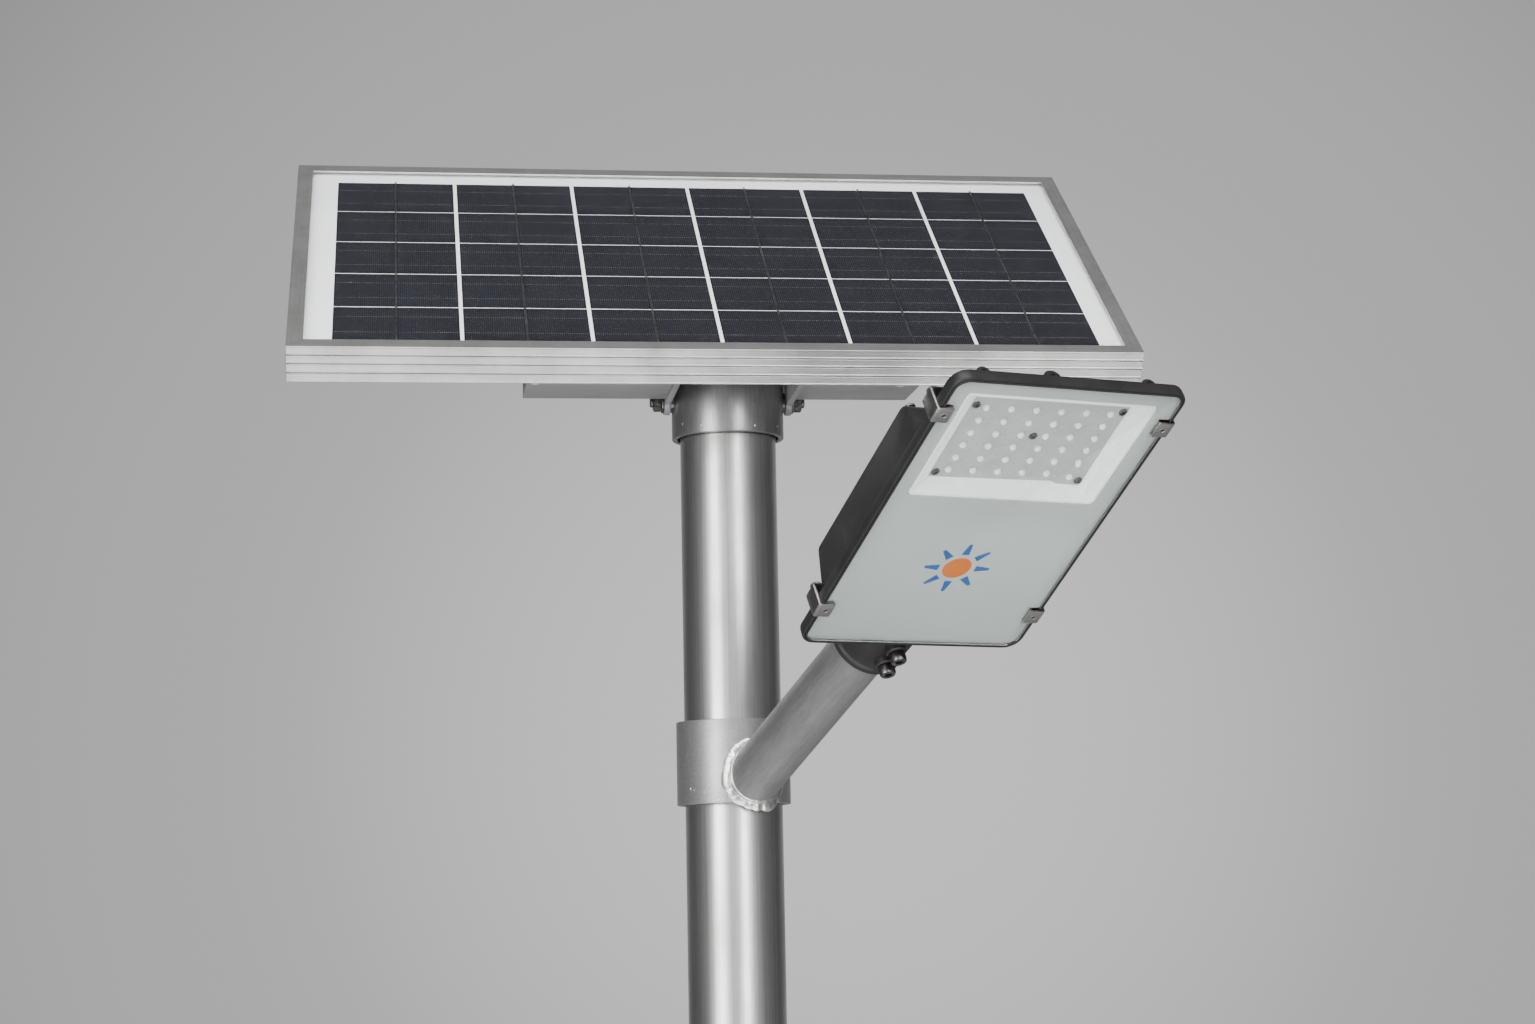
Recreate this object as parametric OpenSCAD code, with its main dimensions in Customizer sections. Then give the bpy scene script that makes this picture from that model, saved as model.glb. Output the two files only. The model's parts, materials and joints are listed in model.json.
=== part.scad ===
// Solar street lamp: a tubular pole with a tilting solar panel on its head
// and a lamp head on a welded side arm. Millimetres, +Z up.
// Origin: on the pole's axis, on the underside of the base plate. -Y is the lit side.

/* [Pole] */
// Length of the pole tube, from the top of the base plate
pole_len = 2070; // [1500:10:4000]
// Outside diameter of the pole tube
pole_d = 76.1; // [70:0.1:84]
// Wall of the pole tube
pole_wall = 3.2; // [2.6:0.1:4]
// Side of the square base plate
base_side = 260; // [240:5:320]
// Thickness of the base plate
base_t = 12; // [8:1:16]
// Distance between anchor holes along each side
anchor_pitch = 200; // [190:5:240]
// Diameter of the anchor holes
anchor_d = 18; // [14:1:22]
// Diameter of the cable hole in the base plate
cable_hole_d = 50; // [30:1:55]

/* [Sleeves on the pole] */
// Wall of the two sleeves
sleeve_wall = 4.2; // [3:0.1:8]
// Running gap between a sleeve and the pole, on the radius
sleeve_gap = 2.2; // [0.5:0.1:3]
// Depth of the top socket, below its cap
socket_depth = 63; // [55:1:80]
// Thickness of the plate that caps the socket
cap_t = 4; // [3:0.5:6]
// Height of the arm collar
collar_h = 65; // [60:1:90]
// Distance from the pole's top down to the collar's top
collar_drop = 287; // [220:1:600]

/* [Lamp arm] */
// Outside diameter of the arm tube
arm_d = 42.4; // [40:0.1:46]
// Wall of the arm tube
arm_wall = 2.6; // [2:0.1:3.2]
// Length of the arm from the pole's axis to its free end
arm_reach = 298.5; // [270:1:500]
// Rise of the arm above horizontal
arm_incline = 24.6; // [10:0.1:40]
// Turn of the arm about the pole, from the lit side
arm_azimuth = 18.2; // [0:0.1:30]
// Height of the arm's axis above the collar's foot, measured at the pole's axis
arm_root = 3; // [0:0.5:8]

/* [Panel] */
// Length of the panel frame, side to side
panel_w = 650; // [560:1:800]
// Depth of the panel frame, front to back
panel_d = 348; // [320:1:400]
// Thickness of the panel frame
panel_t = 29.4; // [28:0.1:35]
// Tilt of the panel above horizontal
panel_tilt = 37.5; // [30:0.5:45]
// Sideways shift of the panel's centre from the pole
panel_shift = -18; // [-20:1:20]
// Shift of the panel's centre up its own slope, from the foot of the hinge
panel_rise = 79; // [60:1:90]
// Room between the socket's cap and the bracket's plate as the panel tilts
yoke_gap = 2.57; // [1:0.01:10]
// Number of cells across
cell_cols = 6; // [4:1:8]
// Number of cells from front to back
cell_rows = 5; // [3:1:6]

/* [Bracket] */
// Diameter of the two hinge studs
stud_d = 8; // [6:0.5:10]
// Length of the cross wings, end to end
wing_len = 305; // [280:1:360]
// Width of the cross wings' base
wing_base = 60; // [50:1:64]
// Thickness of the bracket's steel
bracket_t = 5; // [4:0.5:6]

/* [Lamp head] */
// Width of the lamp head
head_w = 173; // [170:1:200]
// Length of the lamp head
head_l = 270; // [266:1:320]
// Depth of the front casting's rim
rim_t = 8.5; // [8:0.1:10]
// Angle between the lamp head and the arm
head_cock = 7.4; // [0:0.1:10]
// Depth of the neck's axis behind the glass, at the head's lower edge
neck_back = 34.5; // [34:0.5:38]
// Thickness of the front glass
glass_t = 4; // [3:0.5:4]
// Number of light-emitting diodes along each side of the board
led_rows = 6; // [4:1:6]

/* [Hidden] */
$fn = 64;
eps = 0.01;
fine_gap = 0.1;
seat_gap = 0.3;

pole_r = pole_d / 2;
pole_in_r = pole_r - pole_wall;
pole_top = base_t + pole_len;
sleeve_in_r = pole_r + sleeve_gap;
sleeve_r = sleeve_in_r + sleeve_wall;
cap_z = pole_top + seat_gap;
socket_z = cap_z - socket_depth;
hinge_drop = 33;
hinge_z = cap_z - hinge_drop;
collar_z = pole_top - collar_drop - collar_h;
collar_screw_z = [collar_z + 16, collar_z + collar_h - 16];

gusset_t = 6;
gusset_h = 110;
gusset_foot = 68;
anchor_edge = anchor_pitch / 2;

grub_d = 8;
grub_len = 16;
grub_head_t = 5.5;
grub_head_r = 7.5;
stud_r = stud_d / 2;
stud_in = sleeve_in_r + 0.2;
shoulder_r = stud_r + 4;
ear_in = sleeve_r + 1.6;
ear_out = ear_in + bracket_t;
ear_r = 10;
washer_t = 1.6;
nut_t = 6.5;
nut_r = 7.5;
washer_r = 8.5;
stud_end = ear_out + seat_gap + washer_t + nut_t + 2.5;
pin_clear = 0.08;

arm_r = arm_d / 2;
arm_in_r = arm_r - arm_wall;
arm_z = collar_z + arm_root;
bead = 5;
neck_r = arm_r + 6.8;
neck_below = 48;
neck_above = 28;
bore_r = arm_r + 0.09;
clamp_at = [-31, -13];
clamp_head_r = 5.2;
clamp_head_t = 7;

strap_w = 30;
strap_t = 4;
plate_t = 4;
wing_t = 4;
yoke_top = norm([sleeve_r, hinge_drop + cap_t]) + yoke_gap;
panel_gap = yoke_top + strap_t;
wing_front = -76;
wing_back = wing_front + wing_base;
wing_mid = -11;
strap_x = 140;
strap_pitch = panel_d - 36;

lip_w = 12.5;
lip_t = 1.6;
rail_wall = 1.8;
rail_chamber = 10;
flange_w = 25;
shelf_w = 10;
shelf_t = 1.4;
glass_h = 3.2;
cell_h = 0.4;
sheet_h = 0.4;
laminate_t = glass_h + cell_h + sheet_h;
laminate_top = panel_t - lip_t;
shelf_top = laminate_top - laminate_t;
cell_margin = [33.5, 30.5, 17, 28.5];
cell_field = [panel_w - cell_margin[0] - cell_margin[1], panel_d - cell_margin[2] - cell_margin[3]];
col_gap = 3;
row_gap = 1.3;
col_pitch = (cell_field[0] + col_gap) / cell_cols;
row_pitch = (cell_field[1] + row_gap) / cell_rows;
ribbon_w = 1.6;
ribbon_t = 0.2;
box_w = 92;
box_d = 70;
box_h = 17;
box_y = panel_d / 2 - 78;

corner_r = 12;
bump_x = [-64, -14, 58];
rim_wall = 2;
ledge_w = 8;
gasket_t = 1.5;
floor_t = 2;
pan_w = head_w - 39;
pan_y0 = head_l - 113;
pan_y1 = head_l - 18;
pan_back = 19;
window_w = head_w - 37;
window_y0 = head_l - 112;
window_y1 = head_l - 13.5;
well_w = head_w - 58;
well_y0 = head_l - 104;
well_y1 = head_l - 29;
well_depth = 12;
board_t = 1.6;
board_face = pan_back - floor_t - board_t;
lens_r = 3.2;
led_pitch_x = (well_w - 23) / (led_rows - 1);
led_pitch_y = (well_y1 - well_y0 - 15) / (led_rows - 1);
clip_y = [38, head_l - 34];
clip_w = 13;
clip_t = 1.5;
clip_in = 11;
clip_drop = 16;
gland_r = 7.9;
pack_y0 = 30;
pack_y1 = head_l - 66;
pack_back = 50;
pack_w = head_w - 20;
pack_draft = 12;
pack_side_draft = 2.5;
pack_wall = 2.5;
seal_t = 1;
cell_r = 13;
cell_len = 65;
cell_pitch = 26.6;
cell_c = pan_back + 1 + cell_r;
cell_y0 = 67;
control_c = 28;
control_w = 100;
control_d = 30;
control_y = head_l - 92;
cell_layers = floor((control_y - control_d / 2 - 2.4 - cell_y0 + cell_r) / cell_pitch);
post_r = 3.5;
mask_t = 0.8;

// ---- helpers ----

module tube(r, r_in, h) {
    difference() {
        cylinder(r = r, h = h);
        translate([0, 0, -1]) cylinder(r = r_in, h = h + 2);
    }
}

module round_rect(w, l, r) {
    translate([-w / 2 + r, r]) offset(r, $fn = 32) square([w - 2 * r, l - 2 * r]);
}

// A prism drawn in the Y-Z plane and drawn out along X, from x = 0
module along_x(len) {
    rotate([90, 0, 90]) linear_extrude(len) children();
}

// Frame of the arm: Z along the arm from the pole's axis, X level, Y up and back
module at_arm(s = 0) {
    translate([0, 0, arm_z]) rotate([90 - arm_incline, 0, arm_azimuth]) translate([0, 0, s]) children();
}

// Frame of the lamp head: X level, Y along the head, Z out of the glass, glass face at z = 0
module at_head() {
    at_arm(arm_reach) rotate([90 - head_cock, 0, 0]) translate([0, 0, neck_back]) children();
}

// Frame of the hinge at rest, level
module at_hinge() {
    translate([0, 0, hinge_z]) children();
}

// Frame of the panel: X sideways, Y up the slope, Z out of the cells, hinge axis at the origin
module at_tilt() {
    at_hinge() rotate([panel_tilt, 0, 0]) children();
}

// Frame of the panel's frame: centred, underside at z = 0
module at_panel() {
    at_tilt() translate([panel_shift, panel_rise, panel_gap]) children();
}

// ---- pole ----

module base_plate() {
    color("darkgray") difference() {
        translate([-base_side / 2, -base_side / 2, 0]) cube([base_side, base_side, base_t]);
        for (x = [-anchor_edge, anchor_edge], y = [-anchor_edge, anchor_edge])
            translate([x, y, -1]) cylinder(d = anchor_d, h = base_t + 2);
        translate([0, 0, -1]) cylinder(d = cable_hole_d, h = base_t + 2);
    }
}

module base_gussets() {
    color("darkgray") for (a = [45:90:315])
        rotate([0, 0, a]) difference() {
            translate([pole_r - 1, gusset_t / 2, base_t]) rotate([90, 0, 0]) linear_extrude(gusset_t)
                polygon([[0, 0], [gusset_foot, 0], [gusset_foot, 12], [13, gusset_h], [0, gusset_h]]);
            cylinder(r = pole_r, h = base_t + gusset_h + 1);
        }
}

module pole_tube() {
    color("silver") translate([0, 0, base_t]) tube(pole_r, pole_in_r, pole_len);
}

// ---- collar and arm ----

module radial_bolts(z_list, angles, r_wall) {
    for (z = z_list, a = angles)
        translate([0, 0, z]) rotate([0, 0, a]) rotate([90, 0, 0]) translate([0, 0, r_wall]) children();
}

module collar_sleeve() {
    color("silver") difference() {
        translate([0, 0, collar_z]) tube(sleeve_r, sleeve_in_r, collar_h);
        at_arm() cylinder(r = 9, h = 2 * sleeve_r);
        radial_bolts(collar_screw_z, [180], 0) cylinder(d = grub_d + fine_gap, h = 90);
    }
}

module arm_tube() {
    color("silver") difference() {
        at_arm() tube(arm_r, arm_in_r, arm_reach);
        translate([0, 0, collar_z - 60]) cylinder(r = sleeve_r, h = collar_h + 120);
    }
}

module arm_weld() {
    color("gainsboro") intersection() {
        at_arm() tube(arm_r + bead, arm_r, 3 * sleeve_r);
        translate([0, 0, collar_z - 20]) tube(sleeve_r + bead, sleeve_r, collar_h + 40);
    }
}

module grub_bolt() {
    translate([0, 0, -(sleeve_r - pole_r - seat_gap)]) cylinder(d = grub_d, h = grub_len);
    translate([0, 0, grub_len - (sleeve_r - pole_r)]) cylinder(r = grub_head_r, h = grub_head_t, $fn = 6);
}

module collar_screws() {
    color("dimgray") radial_bolts(collar_screw_z, [180], sleeve_r) grub_bolt();
}

// ---- lamp head ----

module head_outline(inset) {
    translate([0, inset])
        round_rect(head_w - 2 * inset, head_l - 2 * inset, corner_r - min(inset, corner_r - 3));
}

// A slab of the head's outline between two depths behind the glass face
module head_slab(inset, c0, c1) {
    translate([0, 0, -c1]) linear_extrude(c1 - c0) head_outline(inset);
}

module head_block(w, y0, y1, c0, c1) {
    translate([-w / 2, y0, -c1]) cube([w, y1 - y0, c1 - c0]);
}

// Frame of the neck: Z along the arm, origin where the arm ends
module at_neck() {
    translate([0, 0, -neck_back]) rotate([-(90 - head_cock), 0, 0]) children();
}

module control_posts() {
    for (x = [-1, 1], y = [-1, 1])
        translate([x * (control_w / 2 - 5), control_y + y * (control_d / 2 - 5), 0]) children();
}

module reflector_posts() {
    for (x = [-1, 1], y = [18, head_l / 2, head_l - 15])
        translate([x * (head_w / 2 - ledge_w - 6), y, 0]) children();
}

module head_casting() {
    difference() {
        head_slab(0, 0.8, rim_t);
        head_slab(rim_wall, 0, glass_t + gasket_t);
        head_slab(ledge_w, 0, rim_t - floor_t);
    }
    reflector_posts() translate([0, 0, -rim_t]) cylinder(r = post_r, h = rim_t - glass_t - mask_t);
    head_block(pan_w, pan_y0, pan_y1, rim_t - eps, pan_back);
    for (x = [-60:12:60])
        translate([x, 0, 0]) head_block(2.5, pack_y1 + 4, pan_y1 - 6, pan_back - eps, pan_back + 7);
    difference() {
        for (x = bump_x)
            translate([x, head_l - 2, -rim_t]) rotate([90, 0, 0]) cylinder(r = 6.3, h = 14);
        head_block(head_w, 0, head_l, 0, rim_t - 1);
    }
    difference() {
        intersection() {
            at_neck() translate([0, 0, -neck_below]) cylinder(r = neck_r, h = neck_below + neck_above + 10);
            translate([-60, -100, -100]) cube([120, 100 + neck_above, 100]);
        }
        translate([-60, 1, -rim_t + eps]) cube([120, 60, 100]);
    }
    control_posts() translate([0, 0, -control_c]) cylinder(r = post_r, h = control_c - pan_back + 1);
}

module head_housing() {
    color("#2b2b2c") at_head() difference() {
        head_casting();
        head_block(pan_w - 4, pan_y0 + 2, pan_y1 - 2, rim_t - eps, pan_back - floor_t);
        head_block(window_w + 2, window_y0, window_y1 - 2, 0, rim_t);
        at_neck() translate([0, 0, -neck_below - 1]) cylinder(r = bore_r, h = neck_below + 1 + seat_gap);
        at_neck() cylinder(r = gland_r + fine_gap, h = 60);
        at_neck() for (s = clamp_at) translate([0, 0, s]) rotate([90, 0, 0]) cylinder(r = 3.05, h = 60);
        control_posts() translate([0, 0, -control_c - 1]) cylinder(r = 1.5 + fine_gap, h = 7);
    }
}

module neck_bolts() {
    color("gray") at_head() at_neck() for (s = clamp_at) translate([0, 0, s]) rotate([90, 0, 0]) {
        translate([0, 0, arm_r + seat_gap]) cylinder(r = 3, h = neck_r - arm_r + 3);
        translate([0, 0, neck_r + 2.5]) cylinder(r = clamp_head_r, h = clamp_head_t, $fn = 6);
    }
}

module glass_gasket() {
    color("#181818") at_head() difference() {
        head_slab(rim_wall + fine_gap, glass_t, glass_t + gasket_t);
        head_slab(ledge_w - 1, glass_t - 1, glass_t + gasket_t + 1);
    }
}

module front_glass() {
    color([0.8, 0.86, 0.84, 0.4]) at_head() head_slab(rim_wall + 0.4, 0, glass_t);
}

// A block whose window shrinks with depth
module taper(w0, y0, y1, c0, w1, u0, u1, c1) {
    hull() {
        head_block(w0, y0, y1, c0, c0 + eps);
        head_block(w1, u0, u1, c1 - eps, c1);
    }
}

module reflector() {
    color("whitesmoke") at_head() difference() {
        union() {
            head_slab(ledge_w + 0.5, glass_t, glass_t + mask_t);
            taper(window_w + 2, window_y0 - 1, window_y1 + 1, glass_t,
                well_w + 2, well_y0 - 1, well_y1 + 1, well_depth);
        }
        taper(window_w, window_y0, window_y1, glass_t - eps,
            well_w, well_y0, well_y1, well_depth + eps);
    }
}

module led_grid() {
    mid = (well_y0 + well_y1) / 2;
    for (i = [0:led_rows - 1], j = [0:led_rows - 1])
        translate([(i - (led_rows - 1) / 2) * led_pitch_x, mid + (j - (led_rows - 1) / 2) * led_pitch_y, 0])
            children();
}

module board_holes() {
    for (x = [-1, 1], y = [well_y0 + 5, well_y1 - 5])
        translate([x * (well_w / 2 - 3.5), y, 0]) children();
}

module lens_plate() {
    color([0.95, 0.96, 0.95, 0.6]) at_head() difference() {
        union() {
            head_block(well_w + 6, well_y0 - 3, well_y1 + 3, well_depth, board_face);
            led_grid() translate([0, 0, -well_depth - 0.9]) sphere(r = lens_r, $fn = 20);
        }
        led_grid() translate([0, 0, -board_face - 3])
            cylinder(r = 2.6, h = 3 + board_face - well_depth - 1.2, $fn = 16);
        board_holes() translate([0, 0, -board_face - 1]) cylinder(r = 1.6, h = 10);
    }
}

module led_chips() {
    color("khaki") at_head() led_grid() translate([-1.75, -1.75, -board_face]) cube([3.5, 3.5, 0.7]);
}

module led_board() {
    color("white") at_head() difference() {
        head_block(well_w + 8, well_y0 - 4, well_y1 + 4, board_face, board_face + board_t);
        board_holes() translate([0, 0, -board_face - board_t - 1]) cylinder(r = 1.6, h = 10);
    }
}

module board_screws() {
    color("dimgray") at_head() board_holes() {
        translate([0, 0, -board_face - board_t])
            cylinder(r = 1.5, h = board_face + board_t - well_depth + eps);
        translate([0, 0, -well_depth]) cylinder(r = 2.8, h = 1.4);
    }
}

// A strip bent round the rim: over the glass, down the side and back under the flange
module clip(i) {
    side = i < 2 ? -1 : 1;
    y = clip_y[i % 2];
    edge = head_w / 2 + 0.4;
    color("gainsboro") at_head() difference() {
        translate([0, y - clip_w / 2, 0]) scale([side, 1, 1]) rotate([90, 0, 0]) mirror([0, 0, 1])
            linear_extrude(clip_w) polygon([
                [edge - clip_in, 0], [edge, 0], [edge, -clip_drop],
                [edge - clip_in + 2, -clip_drop], [edge - clip_in + 2, -clip_drop - clip_t],
                [edge + clip_t, -clip_drop - clip_t], [edge + clip_t, clip_t], [edge - clip_in, clip_t]
            ]);
        translate([side * (head_w / 2 - 4), y, -clip_drop - clip_t - 1])
            cylinder(r = 2 + fine_gap, h = clip_t + 2);
    }
}

module glass_clip_1() { clip(0); }
module glass_clip_2() { clip(1); }
module glass_clip_3() { clip(2); }
module glass_clip_4() { clip(3); }

module clip_screws() {
    color("silver") at_head() for (x = [-1, 1], y = clip_y)
        translate([x * (head_w / 2 - 4), y, 0]) {
            translate([0, 0, -clip_drop - clip_t - 1]) cylinder(r = 2, h = clip_drop + clip_t + 1 - rim_t);
            translate([0, 0, -clip_drop - clip_t - 3.5]) cylinder(r = 4, h = 3.5, $fn = 24);
        }
}

module pack_shell(inset, c0, c1) {
    k = (c1 - rim_t - seal_t) / (pack_back - rim_t - seal_t);
    hull() {
        translate([0, pack_y0 + inset, -c0 - eps]) linear_extrude(eps)
            round_rect(pack_w - 2 * inset, pack_y1 - pack_y0 - 2 * inset, 6, $fn = 24);
        translate([0, pack_y0 + inset + k * pack_draft, -c1]) linear_extrude(eps)
            round_rect(pack_w - 2 * (inset + k * pack_side_draft),
                pack_y1 - pack_y0 - 2 * (inset + k * pack_draft), 6, $fn = 24);
    }
}

// The four screws that hold the box: the lower pair reaches the rim's back, the upper pair the pan
module box_corners() {
    for (x = [-1, 1], top = [0, 1])
        translate([x * (pack_w / 2 - 10), top ? pack_y1 - 18 : pack_y0 + 18, -pack_back]) {
            $reach = pack_back - (top ? pan_back : rim_t);
            children();
        }
}

module battery_box() {
    top = rim_t + seal_t;
    color("#232324") at_head() difference() {
        union() {
            difference() {
                pack_shell(0, top, pack_back);
                pack_shell(pack_wall, top - eps, pack_back - pack_wall);
            }
            box_corners() translate([0, 0, 1]) cylinder(r = 4.5, h = $reach - 2, $fn = 24);
        }
        box_corners() translate([0, 0, -1]) cylinder(r = 2 + fine_gap, h = pack_back);
        head_block(pan_w + 2 * seat_gap, pan_y0 - seat_gap, pan_y1, 0, pan_back + seat_gap);
        at_neck() translate([0, 0, neck_above - 5]) cylinder(r = gland_r + fine_gap, h = 28);
    }
}

module box_seal() {
    color("#101010") at_head() difference() {
        translate([0, pack_y0, -rim_t - seal_t]) linear_extrude(seal_t)
            round_rect(pack_w, pack_y1 - pack_y0, 6);
        translate([0, pack_y0 + 4, -rim_t - seal_t - 1]) linear_extrude(seal_t + 2)
            round_rect(pack_w - 8, pack_y1 - pack_y0 - 8, 4);
        head_block(pan_w + 1, pan_y0 - 1, pan_y1, 0, pan_back);
    }
}

module box_screws() {
    color("gray") at_head() box_corners() {
        translate([0, 0, -eps]) cylinder(r = 2, h = $reach + eps);
        translate([0, 0, -2.2]) cylinder(r = 4, h = 2.2, $fn = 24);
    }
}

module cell_bank(r, len) {
    for (i = [0:cell_layers - 1], side = [-1, 1])
        translate([side * (cell_len / 2 + 1), cell_y0 + i * cell_pitch, -cell_c]) rotate([0, 90, 0])
            cylinder(r = r, h = len, center = true, $fn = 32);
}

module battery_cells() {
    color("royalblue") at_head() cell_bank(cell_r, cell_len);
}

module cell_cradle() {
    color("black") at_head() difference() {
        head_block(pack_w - 17, cell_y0 - cell_r - 1, cell_y0 + (cell_layers - 1) * cell_pitch + cell_r,
            rim_t, cell_c);
        cell_bank(cell_r + fine_gap, cell_len + 0.4);
        head_block(pan_w + 2 * seat_gap, pan_y0 - seat_gap, pan_y1, 0, pan_back + seat_gap);
    }
}

module control_board() {
    color("darkgreen") at_head() difference() {
        translate([0, control_y, 0])
            head_block(control_w, -control_d / 2, control_d / 2, control_c, control_c + 1.6);
        control_posts() translate([0, 0, -control_c - 3]) cylinder(r = 1.6, h = 6);
    }
}

module control_parts() {
    face = control_c + 1.6;
    color("dimgray") at_head() translate([0, control_y, 0]) {
        for (x = [-30, -18, -6]) translate([x, 4, -face - 11]) cylinder(r = 4.5, h = 11, $fn = 24);
        translate([12, 4, -face - 9]) tube(9, 4, 9);
        translate([26, -6, 0]) head_block(14, -4, 18, face, face + 10);
        translate([0, -11, 0]) head_block(44, -4, 4, face, face + 9);
    }
}

module control_screws() {
    color("silver") at_head() control_posts() {
        translate([0, 0, -control_c - 1.6 - 2]) cylinder(r = 2.8, h = 2, $fn = 24);
        translate([0, 0, -control_c - 1.6 - eps]) cylinder(r = 1.5, h = 6);
    }
}

module cable_gland() {
    color("black") at_head() at_neck() translate([0, 0, neck_above - 8]) tube(gland_r, 3.5, 26);
}

// ---- socket on the pole's head ----

module hinge_axis() {
    for (side = [-1, 1]) at_hinge() rotate([0, 90 * side, 0]) children();
}

module panel_socket() {
    color("silver") difference() {
        translate([0, 0, socket_z]) tube(sleeve_r, sleeve_in_r, socket_depth);
        hinge_axis() cylinder(r = stud_r + fine_gap / 2, h = 2 * sleeve_r);
        radial_bolts([socket_z + 13], [150, 210], 0) cylinder(d = grub_d + fine_gap, h = 90);
    }
}

module socket_cap() {
    color("silver") translate([0, 0, cap_z]) difference() {
        cylinder(r = sleeve_r, h = cap_t);
        translate([0, 0, -1]) cylinder(r = 12, h = cap_t + 2);
    }
}

module socket_screws() {
    color("dimgray") radial_bolts([socket_z + 13], [150, 210], sleeve_r) grub_bolt();
}

module hinge_studs() {
    color("dimgray") hinge_axis() {
        translate([0, 0, stud_in]) cylinder(r = stud_r, h = stud_end - stud_in);
    }
}

module hinge_nuts() {
    color("gray") hinge_axis() difference() {
        union() {
            translate([0, 0, ear_out + seat_gap]) cylinder(r = washer_r, h = washer_t);
            translate([0, 0, ear_out + seat_gap + washer_t - eps]) cylinder(r = nut_r, h = nut_t, $fn = 6);
            difference() {
                translate([0, 0, sleeve_r - 3])
                    cylinder(r = shoulder_r, h = ear_in - seat_gap - sleeve_r + 3);
                rotate([0, 90, 0]) translate([0, 0, -100]) cylinder(r = sleeve_r, h = 200);
            }
        }
        cylinder(r = stud_r + fine_gap / 2, h = 2 * sleeve_r);
    }
}

// ---- tilting bracket ----

// Height above the hinge, at a distance y, of the sloping plane that lies d from the hinge
function slope_z(y, d) = d / cos(panel_tilt) + y * tan(panel_tilt);

module ear() {
    front = wing_front - 12;
    back = 30;
    top = yoke_top + plate_t / 2;
    difference() {
        union() {
            along_x(bracket_t) polygon([
                [front, -1], [front, slope_z(front, top)], [back, slope_z(back, top)],
                [ear_r, 0], [0, -3], [-9, -3]
            ]);
            rotate([0, 90, 0]) cylinder(r = ear_r, h = bracket_t);
        }
        translate([-1, 0, 0]) rotate([0, 90, 0]) cylinder(r = stud_r + pin_clear, h = bracket_t + 2);
    }
}

module tilt_yoke() {
    color("silver") {
        at_hinge() {
            translate([ear_in, 0, 0]) ear();
            translate([-ear_out, 0, 0]) ear();
        }
        at_tilt() translate([-ear_out, -66, yoke_top]) cube([2 * ear_out, 146, plate_t]);
    }
}

// A folded channel whose two upright walls end at the sloping straps
module wing(x0, x1) {
    color("darkgray") at_hinge() translate([x0, 0, 0]) along_x(x1 - x0) difference() {
        polygon([
            [wing_front, 0], [wing_back, 0], [wing_back, slope_z(wing_back, yoke_top)],
            [wing_front, slope_z(wing_front, yoke_top)]
        ]);
        polygon([
            [wing_front + wing_t, wing_t], [wing_back - wing_t, wing_t],
            [wing_back - wing_t, slope_z(wing_back, yoke_top)],
            [wing_front + wing_t, slope_z(wing_back, yoke_top)]
        ]);
    }
}

module wing_left() { wing(wing_mid - wing_len / 2, -ear_out); }
module wing_right() { wing(ear_out, wing_mid + wing_len / 2); }

module strap(x) {
    len = strap_pitch + 18;
    color("darkgray") at_panel() difference() {
        translate([x - strap_w / 2, -len / 2, -strap_t]) cube([strap_w, len, strap_t]);
        for (y = [-1, 1])
            translate([x, y * strap_pitch / 2, -strap_t - 1]) cylinder(r = 3.3, h = strap_t + 2);
    }
}

module strap_left() { strap(-strap_x); }
module strap_right() { strap(strap_x); }

module strap_bolts() {
    color("gray") at_panel() for (x = [-strap_x, strap_x], y = [-1, 1])
        translate([x, y * strap_pitch / 2, 0]) {
            translate([0, 0, -strap_t - 4]) cylinder(r = 5.8, h = 4, $fn = 6);
            translate([0, 0, -strap_t - eps]) cylinder(r = 3, h = strap_t + 9);
            translate([0, 0, lip_t]) cylinder(r = 5.8, h = 4.5, $fn = 6);
        }
}

// ---- panel ----

// Section of a frame rail: x inwards from the outer face, y up from the underside
module rail_section() {
    difference() {
        union() {
            square([rail_wall, panel_t]);
            translate([0, laminate_top]) square([lip_w, lip_t]);
            translate([0, shelf_top - shelf_t]) square([shelf_w, shelf_t]);
            square([flange_w, lip_t]);
            translate([rail_chamber, 0]) square([rail_wall - 0.4, shelf_top]);
        }
        for (v = [6.8, 15.3, 21.4]) translate([-1, v - 0.6]) square([1.7, 1.2]);
        for (v = [11, 18.4, 25.6]) translate([-1, v - 0.25]) square([1.3, 0.5]);
    }
}

// A rail along X with mitred ends, its outer face at y = 0 and its inner side towards +Y
module rail(len) {
    m = flange_w + 1;
    intersection() {
        translate([-len / 2, 0, 0]) along_x(len) rail_section();
        linear_extrude(panel_t + 1) polygon([
            [-len / 2, 0], [len / 2, 0], [len / 2 - m, m], [-len / 2 + m, m]
        ]);
    }
}

module bolted_rail(len) {
    difference() {
        rail(len);
        for (x = [-1, 1]) translate([x * strap_x, (panel_d - strap_pitch) / 2, -1]) cylinder(r = 3.3, h = 3);
    }
}

module rail_at(turn, reach) {
    color("gainsboro") at_panel() rotate(turn) translate([0, -reach, 0]) children();
}

module frame_front() { rail_at(0, panel_d / 2) bolted_rail(panel_w); }
module frame_back() { rail_at(180, panel_d / 2) bolted_rail(panel_w); }
module frame_left() { rail_at(-90, panel_w / 2) rail(panel_d); }
module frame_right() { rail_at(90, panel_w / 2) rail(panel_d); }

module corner_keys() {
    leg = 34;
    w = rail_chamber - rail_wall - 2 * fine_gap;
    lo = rail_wall + fine_gap;
    h = shelf_top - shelf_t - lip_t - 2 * fine_gap;
    color("gray") at_panel() for (x = [-1, 1], y = [-1, 1]) scale([x, y, 1])
        translate([-panel_w / 2 + lo, -panel_d / 2 + lo, lip_t + fine_gap]) linear_extrude(h)
            polygon([[0, 0], [leg, 0], [leg, w], [w, w], [w, leg], [0, leg]]);
}

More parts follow.
